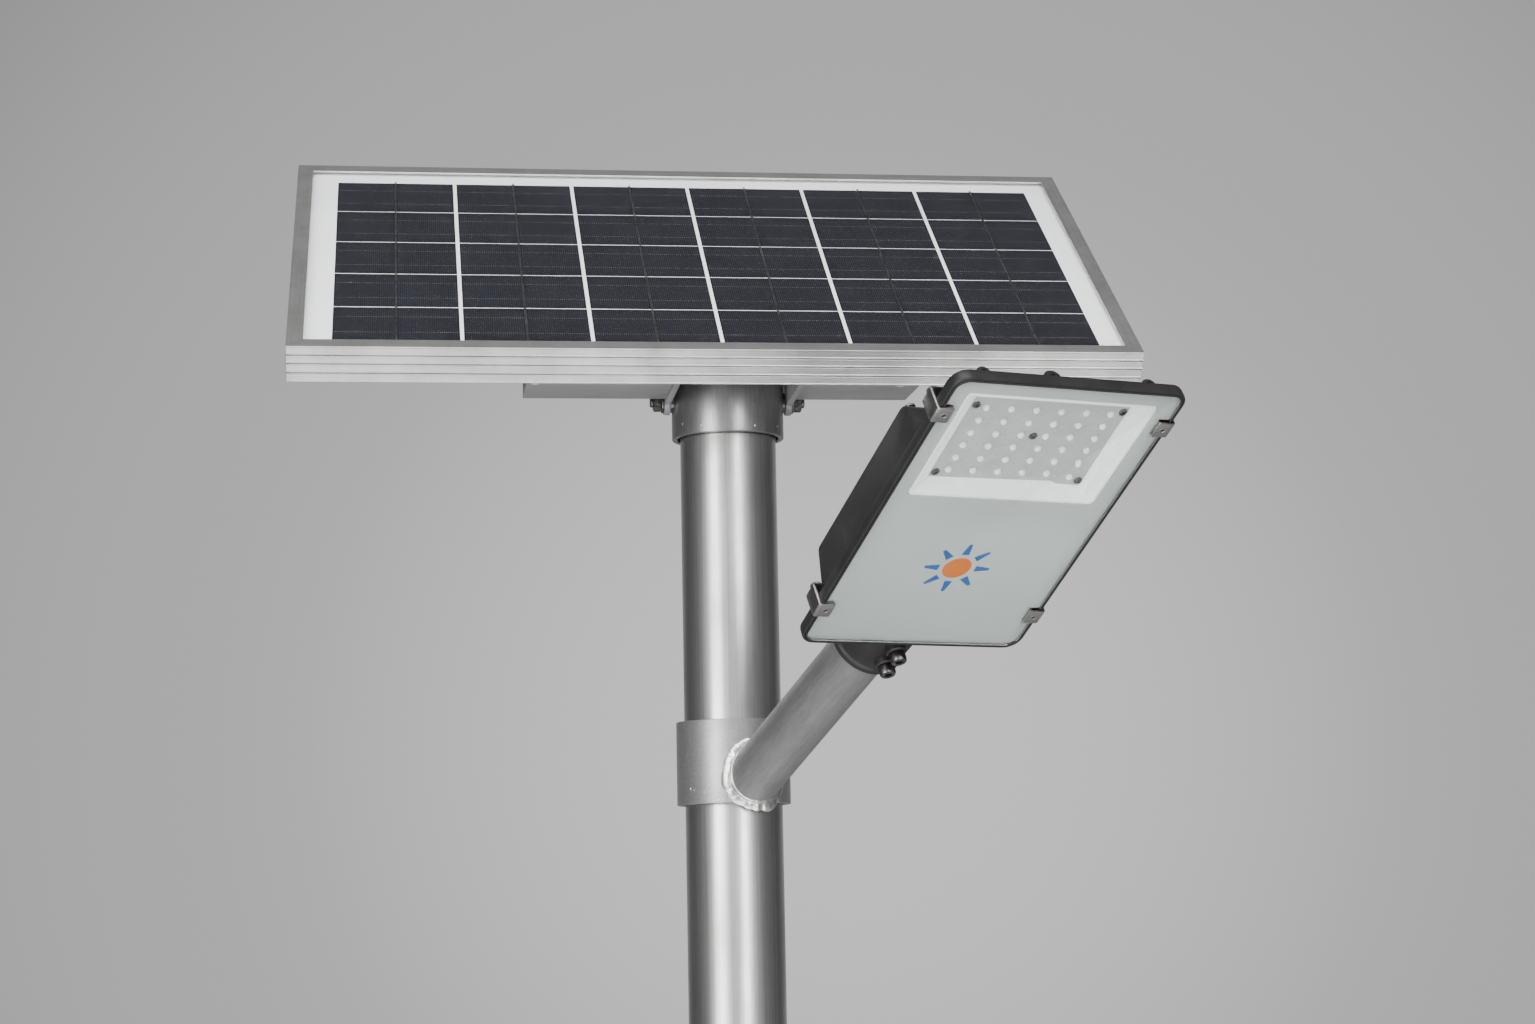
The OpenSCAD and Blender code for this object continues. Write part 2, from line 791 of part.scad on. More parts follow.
module laminate(top, t, play) {
    w = panel_w - 2 * (rail_wall + play);
    d = panel_d - 2 * (rail_wall + play);
    at_panel() translate([-w / 2, -d / 2, top - t]) cube([w, d, t]);
}

module panel_glass() { color([0.85, 0.9, 0.92, 0.35]) laminate(laminate_top, glass_h, 0.5); }
module back_sheet() { color("white") laminate(laminate_top - glass_h - cell_h, sheet_h, 0.5); }

module cell_grid_corner() {
    translate([-panel_w / 2 + cell_margin[0], -panel_d / 2 + cell_margin[2], laminate_top - glass_h - cell_h])
        children();
}

module solar_cells() {
    color("midnightblue") at_panel() cell_grid_corner() for (i = [0:cell_cols - 1], j = [0:cell_rows - 1])
        translate([i * col_pitch, j * row_pitch, 0])
            cube([col_pitch - col_gap, row_pitch - row_gap, cell_h - ribbon_t]);
}

module cell_ribbons() {
    color("lightgray") at_panel() cell_grid_corner() for (i = [0:cell_cols - 1])
        translate([i * col_pitch + (col_pitch - col_gap - ribbon_w) / 2, -3, cell_h - ribbon_t])
            cube([ribbon_w, cell_field[1] + 6, ribbon_t]);
}

module junction_box() {
    color("#202020") at_panel() translate([-box_w / 2, box_y - box_d / 2, shelf_top - box_h]) difference() {
        cube([box_w, box_d, box_h]);
        translate([2, 2, -1]) cube([box_w - 4, box_d - 4, box_h - 1]);
        for (x = [22, box_w - 22])
            translate([x, 1, box_h / 2]) rotate([90, 0, 0]) cylinder(r = 4, h = 10, center = true);
    }
}

module junction_lid() {
    color("#202020") at_panel() translate([-box_w / 2 - 1.5, box_y - box_d / 2 - 1.5, shelf_top - box_h - 2])
        cube([box_w + 3, box_d + 3, 2]);
}

base_plate();
base_gussets();
pole_tube();
collar_sleeve();
arm_tube();
arm_weld();
collar_screws();
head_housing();
neck_bolts();
glass_gasket();
front_glass();
reflector();
lens_plate();
led_chips();
led_board();
board_screws();
glass_clip_1();
glass_clip_2();
glass_clip_3();
glass_clip_4();
clip_screws();
battery_box();
box_seal();
box_screws();
battery_cells();
cell_cradle();
control_board();
control_parts();
control_screws();
cable_gland();
panel_socket();
socket_cap();
socket_screws();
hinge_studs();
hinge_nuts();
tilt_yoke();
wing_left();
wing_right();
strap_left();
strap_right();
strap_bolts();
frame_front();
frame_back();
frame_left();
frame_right();
corner_keys();
panel_glass();
solar_cells();
cell_ribbons();
back_sheet();
junction_box();
junction_lid();
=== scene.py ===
import json
import math
from itertools import product

import bmesh
import bpy
import numpy as np
from mathutils import Matrix, Vector, noise


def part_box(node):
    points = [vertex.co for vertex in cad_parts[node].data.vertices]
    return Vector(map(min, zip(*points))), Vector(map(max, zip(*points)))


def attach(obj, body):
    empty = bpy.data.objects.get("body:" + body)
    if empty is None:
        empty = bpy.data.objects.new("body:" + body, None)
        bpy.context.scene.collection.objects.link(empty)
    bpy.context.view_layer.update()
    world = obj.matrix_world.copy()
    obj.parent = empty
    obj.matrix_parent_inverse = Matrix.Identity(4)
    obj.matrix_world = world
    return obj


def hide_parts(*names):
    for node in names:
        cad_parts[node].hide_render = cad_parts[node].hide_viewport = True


# The looks of a solar street lamp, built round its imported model. Metres, +Z up, -Y is the lit side.

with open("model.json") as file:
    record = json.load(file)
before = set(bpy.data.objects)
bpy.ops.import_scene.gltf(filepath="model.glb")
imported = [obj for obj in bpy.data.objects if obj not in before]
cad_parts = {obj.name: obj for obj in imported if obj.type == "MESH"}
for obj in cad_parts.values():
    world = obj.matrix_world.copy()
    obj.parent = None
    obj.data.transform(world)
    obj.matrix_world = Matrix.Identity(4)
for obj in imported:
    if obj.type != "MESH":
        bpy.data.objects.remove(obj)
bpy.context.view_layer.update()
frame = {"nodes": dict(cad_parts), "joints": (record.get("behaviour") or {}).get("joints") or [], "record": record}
NODES = frame["nodes"]
JOINTS = {joint["name"]: joint for joint in frame["joints"]}
BODY_OF = {node: body for body, nodes in frame["record"]["behaviour"]["bodies"].items() for node in nodes}
UP = Vector((0, 0, 1))
MM = 0.001


# ---- places, read from the frame ----

def level_frame(origin, direction):
    """A frame with Z along a direction and X level."""
    z = Vector(direction).normalized()
    x = UP.cross(z).normalized()
    return Matrix.Translation(origin) @ Matrix((x, z.cross(x), z)).transposed().to_4x4()


def flat_normal(node, towards):
    """The normal of the node's largest flat face on the side that looks towards a direction."""
    areas = {}
    for face in NODES[node].data.polygons:
        if face.normal.dot(Vector(towards)) > 0:
            key = tuple(round(c, 4) for c in face.normal)
            areas[key] = areas.get(key, 0) + face.area
    return Vector(max(areas, key=areas.get))


def span(node, place=Matrix()):
    """Lowest and highest corner of a CAD node, in a frame."""
    inverse = place.inverted()
    points = np.array([inverse @ v.co for v in NODES[node].data.vertices])
    return Vector(points.min(0)), Vector(points.max(0))


def plate_frame(node, towards):
    """A frame on the middle of a plate's face, Z out of the face and X level."""
    low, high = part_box(node)
    place = level_frame((low + high) / 2, flat_normal(node, towards))
    return place @ Matrix.Translation((0, 0, span(node, place)[1].z))


def facing(direction, origin=(0, 0, 0)):
    """A frame whose Z looks along one of the axes."""
    rows = {
        (1, 0, 0): ((0, 0, 1), (1, 0, 0), (0, 1, 0)),
        (-1, 0, 0): ((0, 0, -1), (-1, 0, 0), (0, 1, 0)),
        (0, 1, 0): ((1, 0, 0), (0, 0, 1), (0, -1, 0)),
        (0, -1, 0): ((1, 0, 0), (0, 0, -1), (0, 1, 0)),
        (0, 0, -1): ((1, 0, 0), (0, -1, 0), (0, 0, -1)),
    }[direction]
    return Matrix.Translation(origin) @ Matrix(rows).to_4x4()


POLE = Matrix()
HINGE = Matrix.Translation(JOINTS["panel_tilt"]["pos_m"])
ARM = level_frame(JOINTS["head_roll"]["pos_m"], JOINTS["head_roll"]["axis"])
PANEL = plate_frame("panel_glass", (0, -1, 1))
HEAD = plate_frame("front_glass", (0, -1, -1))
ARM_END = span("arm_tube", ARM)[1].z
NECK = ARM @ Matrix.Translation((0, 0, ARM_END))
TILT = level_frame(HINGE.translation, PANEL.to_3x3() @ UP)


# ---- outlines ----

def mm(*points):
    """Points given in millimetres."""
    return [tuple(c * MM for c in point) for point in points]


def eased(points, radius, steps=3):
    """A closed outline whose corners are rounded, to one radius or to one for each corner."""
    points = [Vector(p) for p in points]
    radii = radius if isinstance(radius, (list, tuple)) else [radius] * len(points)
    outline = []
    for i, point in enumerate(points):
        before = points[i - 1] - point
        after = points[(i + 1) % len(points)] - point
        if radii[i] <= 0:
            outline.append(point)
            continue
        corner = before.angle(after)
        cut = min(radii[i] / math.tan(corner / 2), 0.45 * before.length, 0.45 * after.length)
        start = point + before.normalized() * cut
        end = point + after.normalized() * cut
        for k in range(steps + 1):
            t = k / steps
            outline.append(start * (1 - t) ** 2 + point * 2 * t * (1 - t) + end * t * t)
    return outline


def rectangle(half_w, half_l, radius, middle=(0, 0), steps=6):
    """A rectangle with round corners, always with the same number of points."""
    outline = []
    for turn, (sx, sy) in enumerate(((1, 1), (-1, 1), (-1, -1), (1, -1))):
        for k in range(steps + 1):
            angle = math.pi / 2 * (turn + k / steps)
            outline.append(Vector((
                middle[0] + sx * (half_w - radius) + radius * math.cos(angle),
                middle[1] + sy * (half_l - radius) + radius * math.sin(angle),
            )))
    return outline


def at_height(outline, z):
    return [(p.x, p.y, z) for p in outline]


def hexagon(across):
    """The radius of a hexagon, by angle, from its width across flats."""
    return lambda angle: across / 2 / math.cos((angle % (math.pi / 3)) - math.pi / 6)


def knurl(radius, teeth, depth=0.045):
    """The radius of a knurled round head, by angle."""
    return lambda angle: radius * (1 - depth * abs(math.sin(angle * teeth / 2)) ** 3)


# ---- solids ----

def outward(bm):
    bmesh.ops.recalc_face_normals(bm, faces=bm.faces)
    return bm


def skin(loops, ring=False):
    """A mesh through loops of points that all have the same number of points."""
    bm = bmesh.new()
    rows = [[bm.verts.new(p) for p in loop] for loop in loops]
    pairs = list(zip(rows, rows[1:])) + ([(rows[-1], rows[0])] if ring else [])
    for low, high in pairs:
        for i in range(len(low)):
            j = (i + 1) % len(low)
            bm.faces.new((low[i], low[j], high[j], high[i]))
    if not ring:
        bm.faces.new(list(reversed(rows[0])))
        bm.faces.new(rows[-1])
    bmesh.ops.remove_doubles(bm, verts=bm.verts, dist=1e-7)
    return outward(bm)


def turned(profile, steps=96, ring=False):
    """A solid round Z through (radius, height) stations. Either may be a function of the angle."""
    def value(v, angle):
        return v(angle) if callable(v) else v
    loops = []
    for radius, height in profile:
        loop = []
        for i in range(steps):
            angle = 2 * math.pi * i / steps
            r = max(value(radius, angle), 1e-6)
            loop.append((r * math.cos(angle), r * math.sin(angle), value(height, angle)))
        loops.append(loop)
    return skin(loops, ring)


def pipe(r_out, r_in, z0, z1, ease, steps=128, arc=3):
    """A tube round Z with eased ends."""
    corners = [(r_in, z0), (r_out, z0), (r_out, z1), (r_in, z1)]
    return turned([tuple(p) for p in eased(corners, ease, arc)], steps, ring=True)


def prism(outline, z0, z1, ease=0.0):
    """An outline drawn up from z0 to z1, with its top and bottom edges eased."""
    bm = skin([at_height(outline, z) for z in (z0, z1)])
    if ease:
        flat = [f for f in bm.faces if abs(f.normal.z) > 0.99]
        rims = [e for f in flat for e in f.edges]
        bmesh.ops.bevel(bm, geom=rims, offset=ease, segments=2, profile=0.5, affect="EDGES")
    return bm


def slab(half_w, half_l, radius, z0, z1, middle=(0, 0), ease=0.0):
    return prism(rectangle(half_w, half_l, radius, middle), z0, z1, ease)


def moved(bm, place):
    bm.transform(place)
    return bm


def joined(parts):
    """One mesh made of several, which may touch."""
    whole = bmesh.new()
    for part in parts:
        mesh = bpy.data.meshes.new("part")
        part.to_mesh(mesh)
        part.free()
        whole.from_mesh(mesh)
        bpy.data.meshes.remove(mesh)
    return whole


def cap_screw(head_r, head_h, shank_r, length, socket=0.5, teeth=24, steps=72):
    """A knurled round screw with a hexagon socket. Head from z = 0 up, shank down."""
    grip = knurl(head_r, teeth)
    hexed = hexagon(head_r * socket * 1.7)
    return turned([
        (shank_r, -length), (shank_r, 0), (head_r * 0.93, 0), (grip, head_h * 0.08),
        (grip, head_h * 0.82), (head_r * 0.9, head_h * 0.97), (head_r * 0.8, head_h),
        (hexed, head_h), (hexed, head_h * 0.45), (head_r * 0.1, head_h * 0.36),
    ], steps)


def hex_profile(across, z0, z1, chamfer=0.94):
    """Stations of a hexagon with both ends chamfered."""
    flat = across / 2 * chamfer
    wall = hexagon(across)

    def drop(angle):
        return (wall(angle) - flat) * math.tan(math.radians(30))

    return [(flat, z0), (wall, lambda a: z0 + drop(a)), (wall, lambda a: z1 - drop(a)), (flat, z1)]


def hex_bolt(across, head_h, shank_r, length):
    """A hexagon bolt with a washer face and a dished head."""
    face = 0.4 * MM
    return turned([
        (shank_r * 0.8, -length), (shank_r, -length + shank_r * 0.3), (shank_r, 0),
        (across * 0.46, 0), (across * 0.46, face), *hex_profile(across, face, head_h),
        (across * 0.3, head_h), (across * 0.26, head_h - 0.3 * MM),
    ], steps=72)


def hex_nut(across, height, hole_r):
    return turned([(hole_r, 0), *hex_profile(across, 0, height), (hole_r, height)], steps=72, ring=True)


def bead(points, normals, sides, width, height, seed, ripple=2.6 * MM):
    """Loops of a weld bead along a line: a rounded ridge with ripples, on a surface."""
    loops = []
    travelled = 0.0
    for i, (point, normal, side) in enumerate(zip(points, normals, sides)):
        if i:
            travelled += (point - points[i - 1]).length
        wave = 1 + 0.1 * math.sin(travelled / ripple * 2 * math.pi)
        rough = 1 + 0.55 * noise.noise(point * 140 + Vector((seed, 0, 0)))
        half = width / 2 * (0.6 * rough + 0.4) * (0.5 + 0.5 * wave)
        tall = height * wave * rough
        loop = []
        for k in range(9):
            t = k / 8 * 2 - 1
            lift = tall * (1 - t * t) ** 0.6
            loop.append(point + side * half * t + normal * lift)
        loop.append(point - normal * height * 0.3)
        loops.append(loop)
    return loops


# ---- materials ----

class Shades:
    """A Principled material with helpers that feed it from procedural nodes."""


    def __init__(self, name, color, rough, metal=0.0, **more):
        self.material = bpy.data.materials.new(name)
        self.material.use_nodes = True
        self.tree = self.material.node_tree
        self.shader = self.tree.nodes["Principled BSDF"]
        self.shader.inputs["Base Color"].default_value = (*color, 1)
        self.shader.inputs["Roughness"].default_value = rough
        self.shader.inputs["Metallic"].default_value = metal
        for key, value in more.items():
            self.shader.inputs[key.replace("_", " ").title().replace("Ior", "IOR")].default_value = value
        self.coords = self.node("ShaderNodeTexCoord").outputs["Object"]

    def node(self, kind, **settings):
        node = self.tree.nodes.new(kind)
        for key, value in settings.items():
            setattr(node, key, value)
        return node

    def link(self, source, target):
        self.tree.links.new(source, target)
        return target

    def scaled(self, scale):
        mapping = self.node("ShaderNodeMapping")
        mapping.inputs["Scale"].default_value = scale if hasattr(scale, "__len__") else (scale,) * 3
        self.link(self.coords, mapping.inputs["Vector"])
        return mapping.outputs["Vector"]

    def noise(self, scale, detail=4.0, rough=0.55):
        texture = self.node("ShaderNodeTexNoise")
        texture.inputs["Scale"].default_value = 1.0
        texture.inputs["Detail"].default_value = detail
        texture.inputs["Roughness"].default_value = rough
        self.link(self.scaled(scale), texture.inputs["Vector"])
        return texture.outputs["Fac"]

    def cells(self, scale):
        """The colours of random cells."""
        texture = self.node("ShaderNodeTexVoronoi")
        texture.inputs["Scale"].default_value = 1.0
        self.link(self.scaled(scale), texture.inputs["Vector"])
        return texture.outputs["Color"]

    def ramp(self, source, stops):
        ramp = self.node("ShaderNodeValToRGB")
        ramp.color_ramp.elements[0].position, first = stops[0]
        ramp.color_ramp.elements[0].color = self.tone(first)
        ramp.color_ramp.elements[1].position, last = stops[-1]
        ramp.color_ramp.elements[1].color = self.tone(last)
        for position, value in stops[1:-1]:
            ramp.color_ramp.elements.new(position).color = self.tone(value)
        self.link(source, ramp.inputs["Fac"])
        return ramp.outputs["Color"]

    @staticmethod
    def tone(value):
        return (*value, 1) if hasattr(value, "__len__") else (value, value, value, 1)

    def mix(self, fac, a, b, blend="MIX"):
        mix = self.node("ShaderNodeMix", data_type="RGBA", blend_type=blend)
        for socket, value in ((mix.inputs[0], fac), (mix.inputs[6], a), (mix.inputs[7], b)):
            if isinstance(value, bpy.types.NodeSocket):
                self.link(value, socket)
            elif socket == mix.inputs[0]:
                socket.default_value = value
            else:
                socket.default_value = self.tone(value)
        return mix.outputs[2]

    def color(self, source):
        self.link(source, self.shader.inputs["Base Color"])
        return self

    def roughness(self, source, low, high):
        spread = self.node("ShaderNodeMapRange")
        spread.inputs["To Min"].default_value = low
        spread.inputs["To Max"].default_value = high
        self.link(source, spread.inputs["Value"])
        self.link(spread.outputs["Result"], self.shader.inputs["Roughness"])
        return self

    def bump(self, source, height, strength=1.0):
        bump = self.node("ShaderNodeBump")
        bump.inputs["Distance"].default_value = height
        bump.inputs["Strength"].default_value = strength
        self.link(source, bump.inputs["Height"])
        previous = self.shader.inputs["Normal"]
        if previous.is_linked:
            self.link(previous.links[0].from_socket, bump.inputs["Normal"])
        self.link(bump.outputs["Normal"], previous)
        return self


def worn(shades, tones, streak, cloud):
    """Colour that drifts between a dark, a middle and a light tone, in streaks and in clouds."""
    streaks = shades.ramp(streak, list(zip((0.3, 0.5, 0.72), tones)))
    clouds = shades.ramp(cloud, [(0.3, 0.72), (0.62, 1.0)])
    return shades.mix(1.0, streaks, clouds, "MULTIPLY")


def finish(name, base, grain, stops, rough=None, bumps=(), **more):
    """A material coloured by one noise. None stands for that noise again in its roughness and bumps."""
    color, roughness, metal = base
    m = Shades(name, color, roughness, metal, **more)
    source = m.noise(*grain)

    def pattern(noise_settings):
        return m.noise(*noise_settings) if noise_settings else source

    m.color(m.ramp(source, stops))
    if rough:
        m.roughness(pattern(rough[0]), *rough[1:])
    for settings, height, strength in bumps:
        m.bump(pattern(settings), height, strength)
    return m.material


def galvanised():
    """Polished galvanised pipe, drawn lengthwise, with pale clouds in the zinc."""
    m = Shades("galvanised_pipe", (0.62, 0.62, 0.61), 0.3, 1.0)
    streak = m.noise((900, 900, 5), 3)
    cloud = m.noise((26, 26, 9), 6, 0.6)
    m.color(worn(m, ((0.56, 0.56, 0.55), (0.66, 0.66, 0.65), (0.76, 0.76, 0.75)), streak, cloud))
    m.roughness(cloud, 0.42, 0.24)
    m.bump(streak, 0.00002, 0.35)
    m.bump(m.noise((46, 46, 11), 4), 0.0003, 0.4)
    m.bump(m.noise(160, 4), 0.00008, 0.3)
    return m.material


def aluminium_paint(name, tone, rough, grain_scale):
    """Satin aluminium paint with a fine grain, faint clouds and small dents."""
    m = Shades(name, (tone, tone, tone * 0.985), rough, 0.85)
    grain = m.noise(grain_scale, 3)
    cloud = m.noise((30, 30, 20), 6, 0.65)
    streaks = m.ramp(grain, [(0.3, tone * 0.9), (0.5, tone), (0.72, tone * 1.12)])
    m.color(m.mix(1.0, streaks, m.ramp(cloud, [(0.34, 0.84), (0.6, 1.0)]), "MULTIPLY"))
    m.roughness(cloud, rough + 0.06, rough - 0.06)
    m.bump(grain, 0.00004, 0.5)
    m.bump(m.noise(70, 4), 0.00015, 0.35)
    return m.material


def base_steel():
    """Hot-dip galvanised plate with the zinc's spangle."""
    m = Shades("dipped_zinc", (0.5, 0.5, 0.5), 0.5, 0.8)
    spangle = m.cells(150)
    tone = m.ramp(spangle, [(0.2, 0.4), (0.8, 0.54)])
    m.color(m.mix(m.noise(30, 5), tone, (0.47, 0.47, 0.46)))
    m.roughness(spangle, 0.38, 0.58)
    m.bump(m.noise(120, 4), 0.0001, 0.4)
    return m.material


def clear_glass(name, tint, ior):
    """Coated clear glass that lets the light through to what lies under it."""
    m = Shades(name, tint, 0.03, 0.0, ior=ior, transmission_weight=1.0)
    m.roughness(m.noise(14, 3), 0.02, 0.035)
    clear = m.node("ShaderNodeBsdfTransparent")
    mix = m.node("ShaderNodeMixShader")
    m.link(m.node("ShaderNodeLightPath").outputs["Is Shadow Ray"], mix.inputs[0])
    m.link(m.shader.outputs[0], mix.inputs[1])
    m.link(clear.outputs[0], mix.inputs[2])
    m.link(mix.outputs[0], m.tree.nodes["Material Output"].inputs["Surface"])
    return m.material


def frame_aluminium(name, scale):
    """Anodised extrusion with fine drawing lines along its length."""
    m = Shades(name, (0.74, 0.74, 0.73), 0.36, 0.9)
    streak = m.noise(scale, 3)
    cloud = m.noise(24, 5, 0.6)
    m.color(worn(m, ((0.64, 0.64, 0.63), (0.72, 0.72, 0.71), (0.8, 0.8, 0.79)), streak, cloud))
    m.roughness(cloud, 0.46, 0.34)
    m.bump(streak, 0.00003, 0.5)
    return m.material


def silicon():
    """Blue-black cells, with the faint flakes of multicrystalline silicon."""
    m = Shades("silicon_cell", (0.014, 0.015, 0.021), 0.5, 0.0, specular_ior_level=0.12)
    flake = m.ramp(m.cells((120, 170, 120)), [(0.2, (0.004, 0.0045, 0.007)), (0.8, (0.0085, 0.009, 0.014))])
    m.color(m.mix(m.noise(12, 4), flake, (0.006, 0.0065, 0.009)))
    m.roughness(m.noise(40, 4), 0.45, 0.6)
    return m.material


def board(name, low, high):
    """Circuit board lacquer."""
    return finish(
        name, (high, 0.4, 0.0), (220, 5), [(0.35, low), (0.6, high)], bumps=[((500, 2), 0.00003, 0.4)],
        coat_weight=0.3)


def silver_print(name, low, high):
    """Silver paste printed on the cells, patchy."""
    stops = [(0.35, (low, low, low * 1.1)), (0.7, (high, high, high * 1.08))]
    return finish(name, ((low, low, low), 0.6, 0.2), (260, 4), stops)


def ink(name, color):
    stops = [(0.2, tuple(c * 0.85 for c in color)), (0.8, color)]
    return finish(name, (color, 0.5, 0.0), (300, 3), stops, specular_ior_level=0.2)


GALVANISED = galvanised()
PAINT = aluminium_paint("collar_paint", 0.44, 0.42, 420)
SOCKET_PAINT = aluminium_paint("socket_paint", 0.36, 0.34, (500, 500, 60))
ARM_PAINT = aluminium_paint("arm_paint", 0.385, 0.48, (420, 420, 40))
ZINC = base_steel()
LAMP_GLASS = clear_glass("lamp_glass", (0.95, 0.985, 0.97), 1.3)
PANEL_GLASS = clear_glass("panel_glass", (0.97, 0.98, 0.99), 1.15)
RAIL = frame_aluminium("anodised_rail", (6, 1400, 1400))
SIDE_RAIL = frame_aluminium("anodised_side_rail", (1400, 6, 1400))
SILICON = silicon()
WHITE_BOARD = board("white_board", (0.72, 0.73, 0.72), (0.84, 0.85, 0.84))
GREEN_BOARD = board("green_board", (0.008, 0.07, 0.03), (0.02, 0.16, 0.07))
FINGER = silver_print("finger_print", 0.02, 0.1)
BUSBAR = silver_print("busbar_print", 0.08, 0.34)
# Bright weld bead with a brown heat tint in places.
WELD = finish(
    "weld_bead", ((0.8, 0.78, 0.74), 0.3, 1.0), (110, 4, 0.6),
    [(0.3, (0.4, 0.38, 0.35)), (0.46, (0.74, 0.73, 0.71)), (0.66, (0.93, 0.925, 0.915))],
    (None, 0.42, 0.2), [((700, 3), 0.00012, 0.6)])
# Zinc-plated screws, dulled and brown in their corners.
SCREW = finish(
    "plated_screw", ((0.4, 0.39, 0.37), 0.36, 1.0), (420, 5, 0.6),
    [(0.34, (0.07, 0.066, 0.06)), (0.54, (0.18, 0.173, 0.162)), (0.76, (0.42, 0.41, 0.395))],
    (None, 0.5, 0.25), [((900, 3), 0.00005, 0.5)])
# Black powder coat on a casting: orange peel and slightly greyed high spots.
CAST = finish(
    "black_powder_coat", ((0.02, 0.02, 0.021), 0.42, 0.0), (34, 6, 0.62),
    [(0.35, (0.016, 0.016, 0.017)), (0.6, (0.026, 0.026, 0.027)), (0.8, (0.045, 0.045, 0.045))],
    (None, 0.34, 0.52), [((1300, 2), 0.00004, 0.55)], specular_ior_level=0.35)
# Rubber of the glass gasket and the box seal.
RUBBER = finish(
    "black_rubber", ((0.014, 0.014, 0.014), 0.62, 0.0), (300, 4), [(0.3, 0.0098), (0.7, 0.0252)],
    bumps=[((900, 2), 0.00005, 0.4)])
# Moulded black plastic.
PLASTIC = finish(
    "moulded_black", ((0.022, 0.022, 0.023), 0.4, 0.0), (60, 5), [(0.3, 0.018), (0.7, 0.03)],
    ((200, 3), 0.34, 0.5), [((2200, 2), 0.00003, 0.5)])
# Pale green-white enamel behind the lamp's glass.
ENAMEL = finish(
    "white_enamel", ((0.52, 0.55, 0.53), 0.34, 0.0), (9, 3),
    [(0.3, (0.385, 0.41, 0.393)), (0.7, (0.415, 0.438, 0.422))],
    ((60, 3), 0.3, 0.4), [((500, 2), 0.00002, 0.3)], coat_weight=0.2)
# The bevelled white frame round the diodes.
BEZEL = finish(
    "white_bezel", ((0.95, 0.95, 0.945), 0.25, 0.0), (30, 3), [(0.3, 0.93), (0.7, 0.97)],
    ((90, 3), 0.2, 0.32), coat_weight=0.5)
# Frosted lens sheet with a fine moulded grain, and its clearer domes.
LENS = finish(
    "lens_sheet", ((0.72, 0.73, 0.72), 0.3, 0.0), (45, 5),
    [(0.3, (0.38, 0.384, 0.386)), (0.7, (0.47, 0.474, 0.476))],
    ((300, 3), 0.22, 0.4), [((700, 3), 0.00004, 0.4)], coat_weight=0.4)
DOME = finish(
    "lens_dome", ((0.95, 0.93, 0.87), 0.08, 0.0), (700, 2),
    [(0.3, (0.92, 0.88, 0.76)), (0.7, (0.97, 0.96, 0.93))], coat_weight=1.0, subsurface_weight=0.25)
# Yellow phosphor of the diodes.
DIODE = finish(
    "diode_phosphor", ((0.85, 0.66, 0.16), 0.35, 0.0), (900, 2),
    [(0.3, (0.8, 0.6, 0.12)), (0.7, (0.9, 0.74, 0.24))])
# Pressed stainless strip, brushed along X.
STAINLESS = finish(
    "stainless_strip", ((0.5, 0.49, 0.475), 0.3, 1.0), ((60, 1400, 1400), 3),
    [(0.3, (0.3, 0.294, 0.285)), (0.7, (0.5, 0.49, 0.478))],
    ((160, 4), 0.22, 0.4), [(None, 0.00003, 0.5)])
# Shrink wrap of the battery cells.
WRAP = finish(
    "battery_wrap", ((0.03, 0.1, 0.32), 0.25, 0.0), (50, 4),
    [(0.3, (0.02, 0.07, 0.25)), (0.7, (0.04, 0.13, 0.4))],
    bumps=[(((20, 400, 400), 2), 0.00005, 0.4)], coat_weight=0.5)
# Satin grey paint over the bracket's plates.
BRACKET = finish(
    "bracket_paint", ((0.33, 0.33, 0.325), 0.42, 0.25), ((14, 30, 30), 5, 0.6),
    [(0.3, 0.28), (0.55, 0.34), (0.75, 0.4)], (None, 0.36, 0.52), [((700, 3), 0.00005, 0.5)])
# Tinned ribbons between the cells.
TINNED = finish(
    "tinned_ribbon", ((0.3, 0.3, 0.31), 0.36, 1.0), ((300, 20, 300), 4), [(0.3, 0.14), (0.7, 0.3)],
    bumps=[((500, 3), 0.00004, 0.5)])
# White film under and round the cells.
FILM = finish(
    "white_film", ((0.8, 0.8, 0.81), 0.5, 0.0), (14, 5),
    [(0.3, (0.77, 0.77, 0.785)), (0.7, (0.84, 0.84, 0.85))],
    bumps=[((260, 4), 0.00005, 0.4)], specular_ior_level=0.2)
# Pale paper floor of the studio.
FLOOR = finish("studio_floor", ((0.62, 0.62, 0.62), 0.8, 0.0), (1.5, 3), [(0.3, 0.6), (0.7, 0.64)])


# ---- pieces ----

def shown(name, bm, material, sharp=32):
    """Puts a mesh into the scene, smooth but for its sharp edges."""
    mesh = bpy.data.meshes.new(name)
    bm.to_mesh(mesh)
    bm.free()
    mesh.materials.append(material)
    mesh.polygons.foreach_set("use_smooth", [True] * len(mesh.polygons))
    mesh.set_sharp_from_angle(angle=math.radians(sharp))
    thing = bpy.data.objects.new(name, mesh)
    bpy.context.scene.collection.objects.link(thing)
    return thing


def piece(name, bm, body, material, place=POLE, stands_for=(), sharp=32):
    """A mesh, made in a frame, that rides on a body and may stand for CAD nodes."""
    thing = shown(name, bm, material, sharp)
    thing.matrix_world = place
    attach(thing, body)
    if stands_for:
        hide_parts(*stands_for)


def stand_in(node, bm, material, place=POLE, sharp=32):
    """A finer piece in place of a CAD node, on the same body."""
    piece(node + "_fine", bm, BODY_OF[node], material, place, (node,), sharp)


